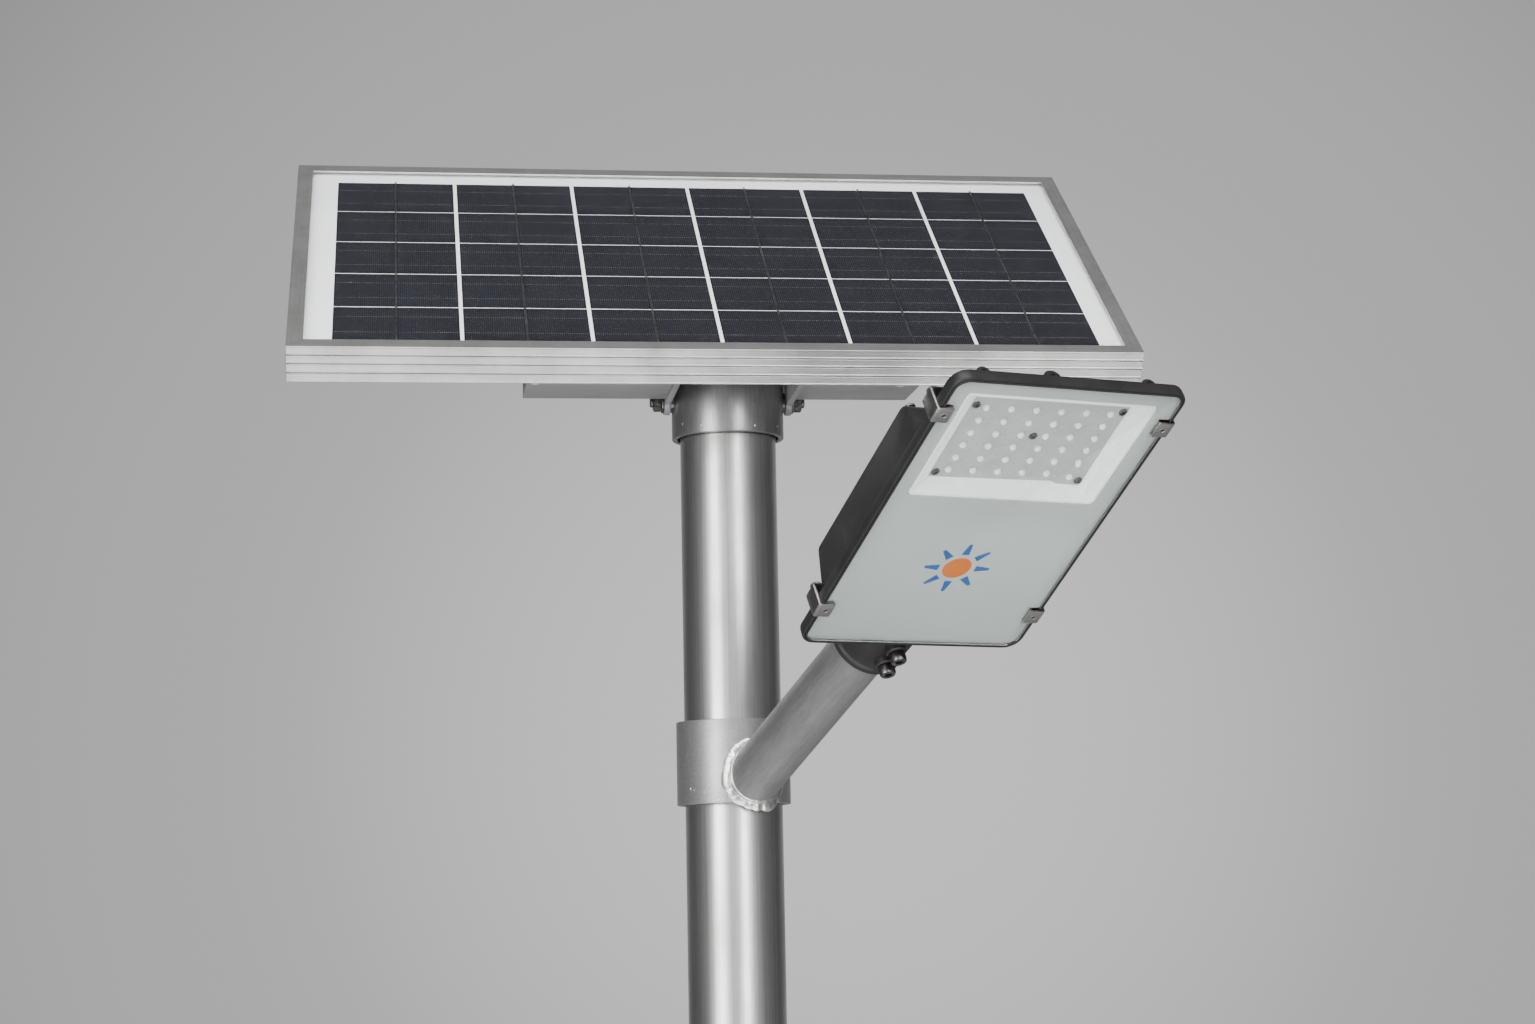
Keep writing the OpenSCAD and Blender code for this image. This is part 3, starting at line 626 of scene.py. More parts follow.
def refined(node, material, place=POLE, ease=0.4 * MM):
    """The CAD node's own shape with its edges eased."""
    bm = bmesh.new()
    bm.from_mesh(NODES[node].data)
    bm.transform(place.inverted())
    bmesh.ops.remove_doubles(bm, verts=bm.verts, dist=1e-6)
    bmesh.ops.dissolve_limit(bm, angle_limit=math.radians(0.6), verts=bm.verts, edges=bm.edges)
    if ease:
        edges = [e for e in bm.edges if len(e.link_faces) == 2 and e.calc_face_angle(0) > math.radians(30)]
        bmesh.ops.bevel(
            bm, geom=edges, offset=ease, segments=2, profile=0.5, affect="EDGES", clamp_overlap=False)
    stand_in(node, bm, material, place)


def paint_node(node, material):
    """A CAD node that stays, with a finer material."""
    data = NODES[node].data
    data.materials.clear()
    data.materials.append(material)


# -- pole --

pole_low, pole_high = span("pole_tube")
plate_low, plate_high = span("base_plate")
POLE_R = pole_high.x
POLE_WALL = 3.2 * MM


def fillet_ring(radius, z, size, seed, steps=260):
    """A weld bead in the corner between an upright tube and a plate."""
    outs = []
    for i in range(steps):
        a = 2 * math.pi * i / steps
        outs.append(Vector((math.cos(a), math.sin(a), 0)))
    normals = [(o + UP).normalized() for o in outs]
    sides = [(o - UP).normalized() for o in outs]
    line = [o * radius + UP * z + n * size * 0.12 for o, n in zip(outs, normals)]
    return skin(bead(line, normals, sides, size * 1.35, size * 0.42, seed), ring=True)


def gusset_beads():
    """Short beads at the foot and the back of each gusset."""
    reach, rise, leg = 62 * MM, 96 * MM, 4 * MM
    gap, half_t = 5 * MM, 3 * MM
    beads = []

    def run(points, normal, side, seed):
        normals = [Vector(normal).normalized()] * len(points)
        sides = [Vector(side).normalized()] * len(points)
        return skin(bead(points, normals, sides, leg * 1.3, leg * 0.4, seed))

    for k, side in product(range(4), (-1, 1)):
        turn = Matrix.Rotation(math.radians(45 + 90 * k), 4, "Z")
        flank = Vector((0, side * half_t, 0))
        foot = [Vector((POLE_R + gap + reach * t / 40, 0, plate_high.z)) + flank for t in range(41)]
        back = [Vector((POLE_R, 0, plate_high.z + gap + rise * t / 60)) + flank for t in range(61)]
        beads.append(moved(run(foot, (0, side, 1), (0, side, -1), 20 + k), turn))
        beads.append(moved(run(back, (1, side, 0), (-1, side, 0), 40 + k), turn))
    return beads


def build_pole():
    pole = pipe(POLE_R, POLE_R - POLE_WALL, pole_low.z, pole_high.z, 0.8 * MM)
    stand_in("pole_tube", pole, GALVANISED)
    refined("base_plate", ZINC, ease=1.2 * MM)
    refined("base_gussets", ZINC, ease=0.8 * MM)
    foot = fillet_ring(POLE_R, plate_high.z, 6 * MM, 3)
    piece("base_weld", joined([foot, *gusset_beads()]), "pole", WELD, sharp=60)


# -- collar and arm --

collar_low, collar_high = span("collar_sleeve")
SLEEVE_R = collar_high.x
SLEEVE_IN = POLE_R + 2.2 * MM
ARM_R = 21.2 * MM
ARM_WALL = 2.6 * MM
INCLINE = math.asin(Vector(JOINTS["head_roll"]["axis"]).z)


def arm_start(x, y, radius):
    """How far along the arm a line parallel to it, at x and y, leaves an upright cylinder."""
    return (math.sqrt(max(radius ** 2 - x * x, 0)) + y * math.sin(INCLINE)) / math.cos(INCLINE)


def arm_tube(steps=128):
    """The arm, fish-mouthed to the sleeve at its lower end and eased at its upper end."""
    def loop(radius, along, cut=0.0):
        points = []
        for i in range(steps):
            a = 2 * math.pi * i / steps
            x, y = radius * math.cos(a), radius * math.sin(a)
            s = arm_start(x, y, SLEEVE_R) if along is None else along
            points.append((x, y, s + cut))
        return points

    inner = ARM_R - ARM_WALL
    middle = (0.12, 0.2)
    loops = [loop(inner, None), loop(ARM_R, None), loop(ARM_R, None, 12 * MM)]
    loops += [loop(ARM_R, s) for s in (*middle, ARM_END - 0.8 * MM)]
    loops += [
        loop(ARM_R - 0.8 * MM, ARM_END), loop(inner + 0.3 * MM, ARM_END), loop(inner, ARM_END - 0.4 * MM)]
    loops += [loop(inner, s) for s in reversed(middle)]
    return skin(loops, ring=True)


def arm_bead(steps=420):
    """The weld between arm and sleeve: a wide uneven run on the sleeve and a thin one against the arm."""
    back = ARM.inverted()
    loops = []
    for i in range(steps):
        a = 2 * math.pi * i / steps
        out = Vector((math.cos(a), math.sin(a), 0))
        x, y = ARM_R * out.x, ARM_R * out.y
        foot = Vector((x, y, arm_start(x, y, SLEEVE_R)))
        world = ARM @ foot
        normal = back.to_3x3() @ Vector((world.x, world.y, 0)).normalized()
        along = (out - normal * out.dot(normal)).normalized()
        wave = math.sin(a * 40 + 9 * noise.noise(foot * 70))
        fine = noise.noise(foot * 230)
        coarse = noise.noise(foot * 48 + Vector((9, 0, 0)))
        heavy = 0.5 - 0.5 * (out.x * 0.75 + out.y * 0.66)
        reach = (3.0 + 4.6 * heavy + 2.8 * coarse + 1.6 * fine) * MM
        low = ARM @ (foot + along * reach)
        shrink = (SLEEVE_R - 0.05 * MM) / math.hypot(low.x, low.y)
        low = back @ Vector((low.x * shrink, low.y * shrink, low.z))
        high = foot + Vector((0, 0, (3.4 + 0.8 * coarse) * MM))
        bulge = (normal + out).normalized()
        bend = foot + bulge * MM
        run = (0.75 + 0.75 * fine + 0.06 * wave + 0.35 * coarse) * MM
        thin = (0.8 + 0.4 * fine) * MM
        loop = []
        for k in range(15):
            t = k / 14
            flat = low * (1 - t) ** 2 + bend * 2 * t * (1 - t) + high * t * t
            first = math.sin(math.pi * t / 0.64) ** 0.7 if t < 0.64 else 0.0
            second = math.sin(math.pi * (t - 0.66) / 0.34) ** 0.8 if 0.66 < t < 1 else 0.0
            loop.append(flat + bulge * (run * first + thin * second))
        loop.append(foot - bulge * 0.6 * MM)
        loops.append(loop)
    return skin(loops, ring=True)


def spatter(name, body, base, spots):
    """Weld spatter low on an upright sleeve: (angle in degrees, height over base and size, both in mm)."""
    grains = []
    for angle, height, size in spots:
        a = math.radians(angle)
        grain = bmesh.new()
        bmesh.ops.create_icosphere(grain, subdivisions=2, radius=size * MM)
        stretch = Matrix.Diagonal((0.45, 1.0, 1.25, 1))
        place = Matrix.Translation((SLEEVE_R * math.cos(a), SLEEVE_R * math.sin(a), base + height * MM))
        grains.append(moved(grain, place @ Matrix.Rotation(a, 4, "Z") @ stretch))
    piece(name, joined(grains), body, WELD)


def radial_screws(node, angles, heights):
    """Hexagon set screws that stand out of a sleeve."""
    screws = []
    for angle, height in product(angles, heights):
        a = math.radians(angle)
        turn = Matrix(((-math.sin(a), 0, math.cos(a)), (math.cos(a), 0, math.sin(a)), (0, 1, 0))).to_4x4()
        place = Matrix.Translation((0, 0, height)) @ turn @ Matrix.Translation((0, 0, SLEEVE_R + 10 * MM))
        screws.append(moved(hex_bolt(13 * MM, 5.5 * MM, 4 * MM, 15 * MM), place))
    stand_in(node, joined(screws), SCREW)


def build_arm():
    stand_in("collar_sleeve", pipe(SLEEVE_R, SLEEVE_IN, collar_low.z, collar_high.z, MM), PAINT)
    stand_in("arm_tube", arm_tube(), ARM_PAINT, ARM)
    stand_in("arm_weld", arm_bead(), WELD, ARM, sharp=70)
    spatter("collar_spatter", "arm", collar_low.z, [
        (-146, 12, 0.9), (-141, 11, 0.7), (-112, 3, 0.8), (-128, 9, 0.6),
        (-52, 7, 0.9), (-40, 13, 0.7), (-20, 50, 0.8)])
    low, high = span("collar_screws")
    head_half = 6.5 * MM
    radial_screws("collar_screws", [90], [low.z + head_half, high.z - head_half])


# -- socket and hinge --

yoke_high = span("tilt_yoke")[1]


def hinge_side(side, ear_out, stud_end):
    """One stud, and its spacer, washer and nut, on the hinge axis. Z points outwards."""
    place = HINGE @ Matrix.Rotation(math.radians(90 * side), 4, "Y")
    stud_r, hole_r, spacer_r = 4 * MM, 4.05 * MM, 8 * MM
    seat = ear_out + 0.3 * MM
    washer_t = 1.6 * MM
    spacer_in, spacer_out = SLEEVE_R - MM, ear_out - 5.3 * MM
    stud = turned([
        (3.2 * MM, SLEEVE_IN + 0.2 * MM), (stud_r, SLEEVE_IN + 0.9 * MM),
        (stud_r, stud_end - 0.8 * MM), (3.3 * MM, stud_end)], 48)
    spacer = turned([
        (hole_r, spacer_in), (spacer_r, spacer_in), (spacer_r, spacer_out),
        (hole_r, spacer_out)], 64, ring=True)
    washer = pipe(8.5 * MM, hole_r, 0, washer_t, washer_t * 0.25, 64, 2)
    nut = hex_nut(13 * MM, 6.5 * MM, hole_r)
    moved(washer, Matrix.Translation((0, 0, seat)))
    moved(nut, Matrix.Translation((0, 0, seat + washer_t)))
    return moved(stud, place), [moved(part, place) for part in (spacer, washer, nut)]


def build_socket():
    low, high = span("panel_socket")
    stand_in("panel_socket", pipe(SLEEVE_R, SLEEVE_IN, low.z, high.z, MM), SOCKET_PAINT)
    cap_low, cap_high = span("socket_cap")
    cap = pipe(SLEEVE_R, 12 * MM, cap_low.z, cap_high.z, 0.9 * MM)
    stand_in("socket_cap", cap, SOCKET_PAINT)
    spatter("socket_spatter", "socket", low.z, [(-125, 6, 0.9), (-68, 5, 1.0), (-35, 7, 0.8), (-150, 9, 0.7)])
    screw_low, screw_high = span("socket_screws")
    radial_screws("socket_screws", [60, 120], [(screw_low.z + screw_high.z) / 2])
    studs, nuts = [], []
    for side in (-1, 1):
        stud, others = hinge_side(side, yoke_high.x, span("hinge_studs")[1].x)
        studs.append(stud)
        nuts += others
    stand_in("hinge_studs", joined(studs), SCREW)
    stand_in("hinge_nuts", joined(nuts), SCREW)


# -- lamp head: X level, Y along the head, Z out of the glass, origin in the middle of its face --

gasket_high = span("glass_gasket", HEAD)[1]
seal_high = span("box_seal", HEAD)[1]
RIM_WALL = 2.1 * MM
HEAD_W = gasket_high.x + RIM_WALL
HEAD_L = gasket_high.y + RIM_WALL
CORNER = 12 * MM
RIM_BACK = -8.5
PAN_HALF_W = 67 * MM
PAN_LOW, PAN_HIGH = -HEAD_L + 157 * MM, -HEAD_L + 252 * MM
PAN_BACK = -19


def level(inset, z):
    """The head's outline, in from its edge and at a depth, both in mm."""
    inset *= MM
    return at_height(rectangle(HEAD_W - inset, HEAD_L - inset, max(CORNER - inset, 2.5 * MM)), z * MM)


def pan_level(grow, z, radius=4):
    """The diode pan's outline, larger by grow and at a depth, all in mm."""
    half_l, middle = (PAN_HIGH - PAN_LOW) / 2, (PAN_LOW + PAN_HIGH) / 2
    return at_height(rectangle(PAN_HALF_W + grow * MM, half_l + grow * MM, radius * MM, (0, middle)), z * MM)


def head_shell():
    """Rim, floor and diode pan as one casting."""
    rim = [
        (8, -6.5), (7.9, -5.6), (2.1, -5.5), (1.95, -0.7), (1.5, -0.15), (0.9, -0.2), (0.25, -0.7),
        (0, -1.4), (0.1, -6.9), (0.4, -8), (1.2, RIM_BACK)]
    return skin([
        pan_level(-2.2, 2 + PAN_BACK, 3), pan_level(-2.0, -16.8), pan_level(-2.0, -6.6),
        *[level(*station) for station in rim],
        pan_level(0.9, RIM_BACK, 5), pan_level(0.2, -9.3, 5), pan_level(-0.4, 1 + PAN_BACK, 5),
        pan_level(-1.4, PAN_BACK, 5)])


def cooling_fins():
    """Cast fins on the back of the diode pan, above the box."""
    low, high = seal_high.y + 4 * MM, PAN_HIGH - 6 * MM
    root, tip, pitch, half_t = -18.5 * MM, -26 * MM, 12 * MM, 1.25 * MM
    outline = eased(
        [(low, root), (high, root), (high, -22 * MM), (high - 5 * MM, tip), (low, tip)],
        [0, 0, 1.5 * MM, 3 * MM, 1.5 * MM])
    return [
        moved(prism(outline, -half_t, half_t, 0.5 * MM), facing((1, 0, 0), (pitch * k, 0, 0)))
        for k in range(-5, 6)]


def end_bumps():
    """Three half-round bosses behind the outer edge of the rim, the middle one larger."""
    bumps = []
    for x, r in ((-64, 5.2), (-14, 6.3), (58, 5.2)):
        boss = turned(mm(
            (r - 3.3, 0), (r - 0.7, 0.2), (r, 1), (r, 13), (r - 0.7, 13.8), (2.4, 14), (2.2, 12.6),
            (0.2, 12.4)), 48)
        moved(boss, facing((0, 1, 0), (x * MM, HEAD_L - 15.4 * MM, (RIM_BACK + 0.6) * MM)))
        for vert in boss.verts:
            vert.co.z = min(vert.co.z, (RIM_BACK + 1.2) * MM)
        bumps.append(boss)
    return bumps


NECK_R = 28
BORE_R = ARM_R / MM + 0.09
NECK_LOW, NECK_HIGH = -48, 32
CLAMP_AT = (-31 * MM, -13 * MM)


def neck():
    """The clamp that holds the arm's end, with a lip, two screw bosses and a lug."""
    wall = NECK_R - 1.4
    section = mm(
        (BORE_R, NECK_LOW), (NECK_R - 1.2, NECK_LOW), (NECK_R, NECK_LOW + 1), (NECK_R, NECK_LOW + 5),
        (wall, NECK_LOW + 7), (wall, NECK_HIGH), (BORE_R, NECK_HIGH))
    parts = [turned([tuple(p) for p in eased(section, 0.5 * MM, 2)], ring=True)]
    for along in CLAMP_AT:
        boss = turned(mm((7.4, 0), (7.4, 6.2), (6.4, 7.2), (3.2, 7.2), (3.2, 4)), 48)
        parts.append(moved(boss, facing((0, -1, 0), (0, (5 - NECK_R) * MM, along))))
    lug = slab(3 * MM, 6 * MM, 1.5 * MM, 0, 6.5 * MM, ease=0.8 * MM)
    parts.append(moved(lug, facing((-1, 0, 0), ((4.6 - NECK_R) * MM, 2 * MM, -30 * MM))))
    whole = moved(joined(parts), HEAD.inverted() @ NECK)
    for vert in whole.verts:
        if vert.co.y > -HEAD_L + 0.6 * MM:
            vert.co.z = min(vert.co.z, (RIM_BACK + 0.4) * MM)
        elif vert.co.y > -HEAD_L - MM:
            vert.co.z = min(vert.co.z, (RIM_BACK + 2) * MM)
    return whole


STRIP_T = 1.5 * MM
CLIP_WIDTH = 13 * MM


def clip_profile():
    """The clip's section: over the glass, down the side and back under the rim."""
    edge = HEAD_W + 0.4 * MM
    tongue = edge - 11 * MM
    heel = tongue + 2 * MM
    deep = -16 * MM
    outside = [
        (tongue, STRIP_T), (edge + STRIP_T, STRIP_T), (edge + STRIP_T, deep - STRIP_T),
        (heel, deep - STRIP_T)]
    inside = [(heel, deep), (edge, deep), (edge, 0), (tongue, 0)]
    return eased(outside + inside, [r * MM for r in (0.5, 2.4, 2.4, 0.5, 0.3, 1, 1, 0.3)], 4)


def build_clips():
    """The four clips, each with a pressed pit that has a raised rim and a dark floor."""
    for k in range(1, 5):
        name = f"glass_clip_{k}"
        low, high = span(name, HEAD)
        middle = (low.y + high.y) / 2
        side = 1 if high.x > 0 else -1
        strip = prism(clip_profile(), -CLIP_WIDTH / 2, CLIP_WIDTH / 2, 0.35 * MM)
        moved(strip, Matrix(((side, 0, 0, 0), (0, 0, 1, middle), (0, 1, 0, 0), (0, 0, 0, 1))))
        spot = Matrix.Translation((side * (HEAD_W - 5.2 * MM), middle, STRIP_T))
        pit = turned(mm(
            (2.25, -0.2), (2.175, 0.12), (1.725, 0.2), (1.5, 0.05), (0.9, -0.15), (0.15, -0.18)), 32)
        stand_in(name, outward(joined([strip, moved(pit, spot)])), STAINLESS, HEAD)
        dark = turned(mm((1.2, -0.1), (1.2, 0.04), (0.1, 0.06)), 24)
        piece(f"clip_pit_{k}", moved(dark, spot), "lamp_head", RUBBER, HEAD)


def corner_screws(node, material, half_w, head_h, length):
    """Four round screws whose heads look away from the glass, at the back of a node's box."""
    low, high = span(node, HEAD)
    head_r = 4 * MM
    screws = []
    for x, y in product((-half_w, half_w), (low.y + head_r, high.y - head_r)):
        screw = cap_screw(head_r, head_h, 2 * MM, length)
        screws.append(moved(screw, facing((0, 0, -1), (x, y, low.z + head_h))))
    stand_in(node, joined(screws), material, HEAD)


def notched(bm):
    """The box's shell without the part that the diode pan fills."""
    side, back, low = PAN_HALF_W + 0.4 * MM, (PAN_BACK - 0.3) * MM, PAN_LOW - 0.4 * MM
    for spot, normal in (
        ((side, 0, 0), (1, 0, 0)), ((-side, 0, 0), (1, 0, 0)), ((0, 0, back), (0, 0, 1)),
        ((0, low, 0), (0, 1, 0)),
    ):
        whole = bm.verts[:] + bm.edges[:] + bm.faces[:]
        bmesh.ops.bisect_plane(bm, geom=whole, plane_co=spot, plane_no=normal)
    middles = [(face, face.calc_center_median()) for face in bm.faces]
    inside = [face for face, at in middles if abs(at.x) < side and at.y > low and at.z > back]
    bmesh.ops.delete(bm, geom=inside, context="FACES")
    return bm


def build_box():
    """The battery box: a flat-sided housing with drafted ends, a raised back panel and ribs."""
    low, high = span("battery_box", HEAD)
    top, back, half_w = high.z, low.z, high.x
    middle = (low.y + high.y) / 2
    end_draft, side_draft = 12 * MM, 2.5 * MM
    outline = eased(
        [(low.y, top), (high.y, top), (high.y - end_draft, back), (low.y + end_draft, back)],
        [r * MM for r in (0.3, 0.3, 11, 4)], 6)
    shell = moved(prism(outline, -half_w, half_w, 0.9 * MM), facing((1, 0, 0)))
    for vert in shell.verts:
        vert.co.x *= 1 - side_draft / half_w * (top - vert.co.z) / (top - back)
    parts = [notched(outward(shell))]
    parts.append(slab(56 * MM, 62 * MM, 5 * MM, back - 0.9 * MM, back + 0.5 * MM, (0, middle), 0.4 * MM))
    for k in range(-4, 5):
        parts.append(slab(1.1 * MM, 54 * MM, MM, back - 2 * MM, back, (k * 11 * MM, middle), 0.4 * MM))
    stand_in("battery_box", outward(joined(parts)), CAST, HEAD)

    rivets = []
    for side, along in product((-1, 1), (-53.94, -4.35, 43.5)):
        rivet = turned(mm((1.9, 0), (1.7, 0.4), (1.1, 0.7), (0.1, 0.8)), 24)
        spot = (side * (half_w - 0.5 * MM), middle + along * MM, top - 6 * MM)
        rivets.append(moved(rivet, facing((side, 0, 0), spot)))
    piece("box_rivets", outward(joined(rivets)), "lamp_head", RUBBER, HEAD)
    corner_screws("box_screws", SCREW, span("box_screws", HEAD)[1].x - 4 * MM, 2.2 * MM, 31 * MM)
    refined("box_seal", RUBBER, HEAD, ease=0)


def opening(t, z, grow=0.0, radius=2):
    """An outline between the window in the sheet (t = 0) and the well of the diodes (t = 1), in mm."""
    window_w, window_low, window_high = 68, 158, 251.2
    well_w, well_low, well_high = 57.5, 166, 248.4
    half_w = window_w + (well_w - window_w) * t + grow
    low = window_low + (well_low - window_low) * t - grow
    high = window_high + (well_high - window_high) * t + grow
    middle = (0, -HEAD_L + (high + low) / 2 * MM)
    return at_height(rectangle(half_w * MM, (high - low) / 2 * MM, radius * MM, middle), z * MM)


def build_reflector():
    """White sheet with a bevelled, grooved frame round the diodes."""
    sheet = skin([
        opening(0, -4.75, 2.4), level(2.6, -4.45), level(2.5, -4.25), level(2.8, -4.08),
        opening(0, -4.08, 3.0, 3), opening(0, -4.6, 2.6, 3)], ring=True)
    stand_in("reflector", sheet, ENAMEL, HEAD)
    bevel = [(0.1, -5.2), (0.13, -6.1), (0.19, -5.7), (0.68, -8.7), (0.73, -10), (0.8, -9.7), (0.95, -11.1),
             (1, -11.9), (1, -12, 0.4), (0.5, -8.6, 1.6)]
    bezel = skin([
        opening(0, -4.7, 2.3, 3), opening(0, -4.12, 1.9, 3), opening(0, -4.1, 0.4, 2.5),
        opening(0.02, -4.7, 0, 2.5), *[opening(*station) for station in bevel]], ring=True)
    piece("reflector_bezel", bezel, "lamp_head", BEZEL, HEAD)


LENS_FACE = -12


def on_head(x, y, z):
    """A place on the lamp head, from its axis, the glass's lower edge and the glass's face, in mm."""
    return Matrix.Translation((x * MM, -HEAD_L + y * MM, z * MM))


def led_places():
    """Where the diodes are, six by six."""
    for i, j in product(range(6), range(6)):
        yield (i - 2.5) * 18.4, 203.5 + (j - 2.5) * 12


def build_optics():
    """The lens plate with a ring and small marks at each diode, its domes, its screws and the diodes."""
    plate_z = span("led_board", HEAD)[1].z + 0.02 * MM
    parts = [slab(60.4 * MM, 43.2 * MM, MM, plate_z, (LENS_FACE - 0.02) * MM, (0, -HEAD_L + 206.3 * MM))]
    for x, y in led_places():
        ring = turned(mm((4, -0.2), (3.9, 0.22), (3.5, 0.34), (2.9, 0.3), (2.8, -0.2)), 32)
        parts.append(moved(ring, on_head(x, y, LENS_FACE)))
    for x, y in led_places():
        for dx, dy, r in ((7.6, -3.4, 1.3), (5.2, -6.6, 0.9), (9.4, 1.2, 0.7)):
            mark = turned(mm((r, 0), (r * 0.7, 0.5), (0.1, 0.7)), 16)
            parts.append(moved(mark, on_head(x + dx, y + dy, LENS_FACE - 0.05)))
    stand_in("lens_plate", joined(parts), LENS, HEAD)
    domes, dome_r = [], 2.5
    for x, y in led_places():
        arc = [math.pi / 2 * k / 7 for k in range(8)]
        rows = [(dome_r * math.cos(t), dome_r * 0.95 * math.sin(t)) for t in arc]
        domes.append(moved(turned(mm((dome_r * 0.9, -0.15), *rows), 32), on_head(x, y, LENS_FACE + 0.1)))
    piece("lens_domes", joined(domes), "lamp_head", DOME, HEAD, sharp=60)
    screws = []
    for x, y in (*product((-54, 54), (171, 236)), (0, 209.5)):
        screw = cap_screw(2.9 * MM, 1.3 * MM, 1.5 * MM, 4 * MM, socket=0.55)
        screws.append(moved(screw, on_head(x, y, LENS_FACE + 0.05)))
    stand_in("board_screws", joined(screws), SCREW, HEAD)
    paint_node("led_chips", DIODE)
    paint_node("led_board", WHITE_BOARD)


def build_glass():
    """The pane, with ground edges, and the lip of rubber round it."""
    low, high = span("front_glass", HEAD)
    half_w, half_l = (high.x - low.x) / 2, (high.y - low.y) / 2
    pane = skin([
        at_height(rectangle(half_w - inset, half_l - inset, CORNER - 2.4 * MM), z)
        for inset, z in mm((0.5, -3.98), (0.05, -3.6), (0.05, -0.4), (0.45, -0.01))])
    stand_in("front_glass", pane, LAMP_GLASS, HEAD)
    lip = [
        (1.98, -5.4), (1.98, -0.5), (2.3, 0.12), (2.9, 0.26), (3.5, 0.16), (3.6, 0), (2.5, -0.03),
        (2.42, -0.6), (2.42, -4.2), (2.6, -4.5), (7, -4.6), (7, -5.4)]
    stand_in("glass_gasket", skin([level(*station) for station in lip], ring=True), RUBBER, HEAD)


def sun_mark():
    """A plain sun symbol, a disc with eight rays, printed under the lower part of the glass."""
    place = HEAD @ on_head(0, 84, -4.07)
    thin = 0.03
    disc = turned(mm((10.5, 0), (10.5, thin), (0.1, thin)), 64)
    outline = [Vector(p) for p in mm((-3, 14), (3, 14), (1.2, 25), (-1.2, 25))]
    rays = [
        moved(prism(outline, 0, thin * MM), Matrix.Rotation(math.radians(45 * k), 4, "Z")) for k in range(8)]
    orange, blue = ink("orange_ink", (0.62, 0.15, 0.012)), ink("blue_ink", (0.004, 0.09, 0.34))
    piece("sun_mark_disc", disc, "lamp_head", orange, place)
    piece("sun_mark_rays", joined(rays), "lamp_head", blue, place)


def build_neck_bolts():
    screws = []
    for along in CLAMP_AT:
        screw = cap_screw(5.9 * MM, 7 * MM, 3 * MM, 12 * MM, teeth=28, steps=84)
        collar = turned(mm((4.6, -1.6), (4.6, -0.4), (3.9, 0.1), (2.9, 0.1)), 48)
        aim = facing((0, -1, 0), (0, -(NECK_R + 2.5) * MM, along))
        screws.append(moved(joined([screw, collar]), aim))
    stand_in("neck_bolts", joined(screws), SCREW, NECK)


def build_head():
    housing = joined([head_shell(), neck(), *cooling_fins(), *end_bumps()])
    stand_in("head_housing", outward(housing), CAST, HEAD)
    build_glass()
    build_reflector()
    build_optics()
    build_clips()
    low, high = span("clip_screws", HEAD)
    head_h = 3.5 * MM
    corner_screws("clip_screws", STAINLESS, HEAD_W - 4 * MM, head_h, high.z - low.z - head_h)
    build_box()
    build_neck_bolts()
    sun_mark()
    for node, material in (
        ("battery_cells", WRAP), ("cell_cradle", PLASTIC), ("control_board", GREEN_BOARD),
        ("control_parts", PLASTIC), ("control_screws", STAINLESS), ("cable_gland", PLASTIC),
    ):
        paint_node(node, material)


# -- panel: X along its length, Y up the slope, Z out of the cells, origin on the glass's face --

LONG = span("frame_front", PANEL)[1].x
DEEP = span("frame_back", PANEL)[1].y
FOOT = span("frame_front", PANEL)[0].z


def rail_section():
    """Section of a frame rail from its outer face: lipped grooves outside, then flange, shelf and lip."""
    top, land = 29.4, 0.3
    outside = [(0.2, top), (0.0, top - 0.2), (0.0, top - 1.0), (land, top - 1.5)]
    side = [(land, 1.5), (0.0, 1.1), (0.0, 0.7), (0.2, 0.5), (1.7, 0.4)]
    for groove in (21.9, 14.9, 7.4):
        outside += [(x, groove + y) for x, y in side]
        outside += [(x, groove - y) for x, y in reversed(side)]
    outside += [(land, 1.3), (0.0, 0.9), (0.0, 0.3), (0.3, 0.0)]
    flange = [(24.7, 0.0), (25.0, 0.3), (25.0, 1.4), (24.8, 1.6), (11.4, 1.6)]
    shelf = [(11.4, 22.2), (10.4, 23.8), (1.8, 23.8), (1.8, 27.8)]
    lip = [(12.3, 27.8), (12.5, 28.0), (12.5, 29.15), (12.25, top)]
    return mm(*outside, *flange, *shelf, *lip)


def rail(node, half, turn, reach, material):
    """A mitred rail: its section's depth shortens it at both ends."""
    gap = 0.12 * MM
    bm = skin([
        [(end * (half - x - gap), -reach + x, FOOT + y) for x, y in rail_section()] for end in (-1, 1)])
    bmesh.ops.triangulate(bm, faces=[f for f in bm.faces if len(f.verts) > 4])
    stand_in(node, moved(bm, Matrix.Rotation(math.radians(turn), 4, "Z")), material, PANEL, sharp=18)


def build_frame():
    rail("frame_front", LONG, 0, DEEP, RAIL)
    rail("frame_back", LONG, 180, DEEP, RAIL)
    rail("frame_left", DEEP, -90, LONG, SIDE_RAIL)
    rail("frame_right", DEEP, 90, LONG, SIDE_RAIL)
    refined("corner_keys", RAIL, PANEL, ease=0)
    pins = []
    for x, y, z in product((-1, 1), (-1, 1), (7.2, 14.9)):
        pin = turned(mm((1.3, -0.6), (1.2, 0), (0.1, 0.02)), 20)
        spot = (x * (LONG - 0.35 * MM), y * (DEEP - 3.2 * MM), FOOT + z * MM)
        pins.append(moved(pin, facing((x, 0, 0), spot)))
    piece("corner_pins", outward(joined(pins)), "panel", SCREW, PANEL)


def cell_boxes():
    """The lowest and highest corner of each cell's face: six columns of five in the node's box."""
    first, last = span("solar_cells", PANEL)
    columns, rows = 6, 5
    gap_x, gap_y = 3 * MM, 1.3 * MM
    pitch_x = (last.x - first.x + gap_x) / columns
    pitch_y = (last.y - first.y + gap_y) / rows
    for i, j in product(range(columns), range(rows)):
        low = Vector((first.x + i * pitch_x, first.y + j * pitch_y, last.z))
        yield low, low + Vector((pitch_x - gap_x, pitch_y - gap_y, 0))


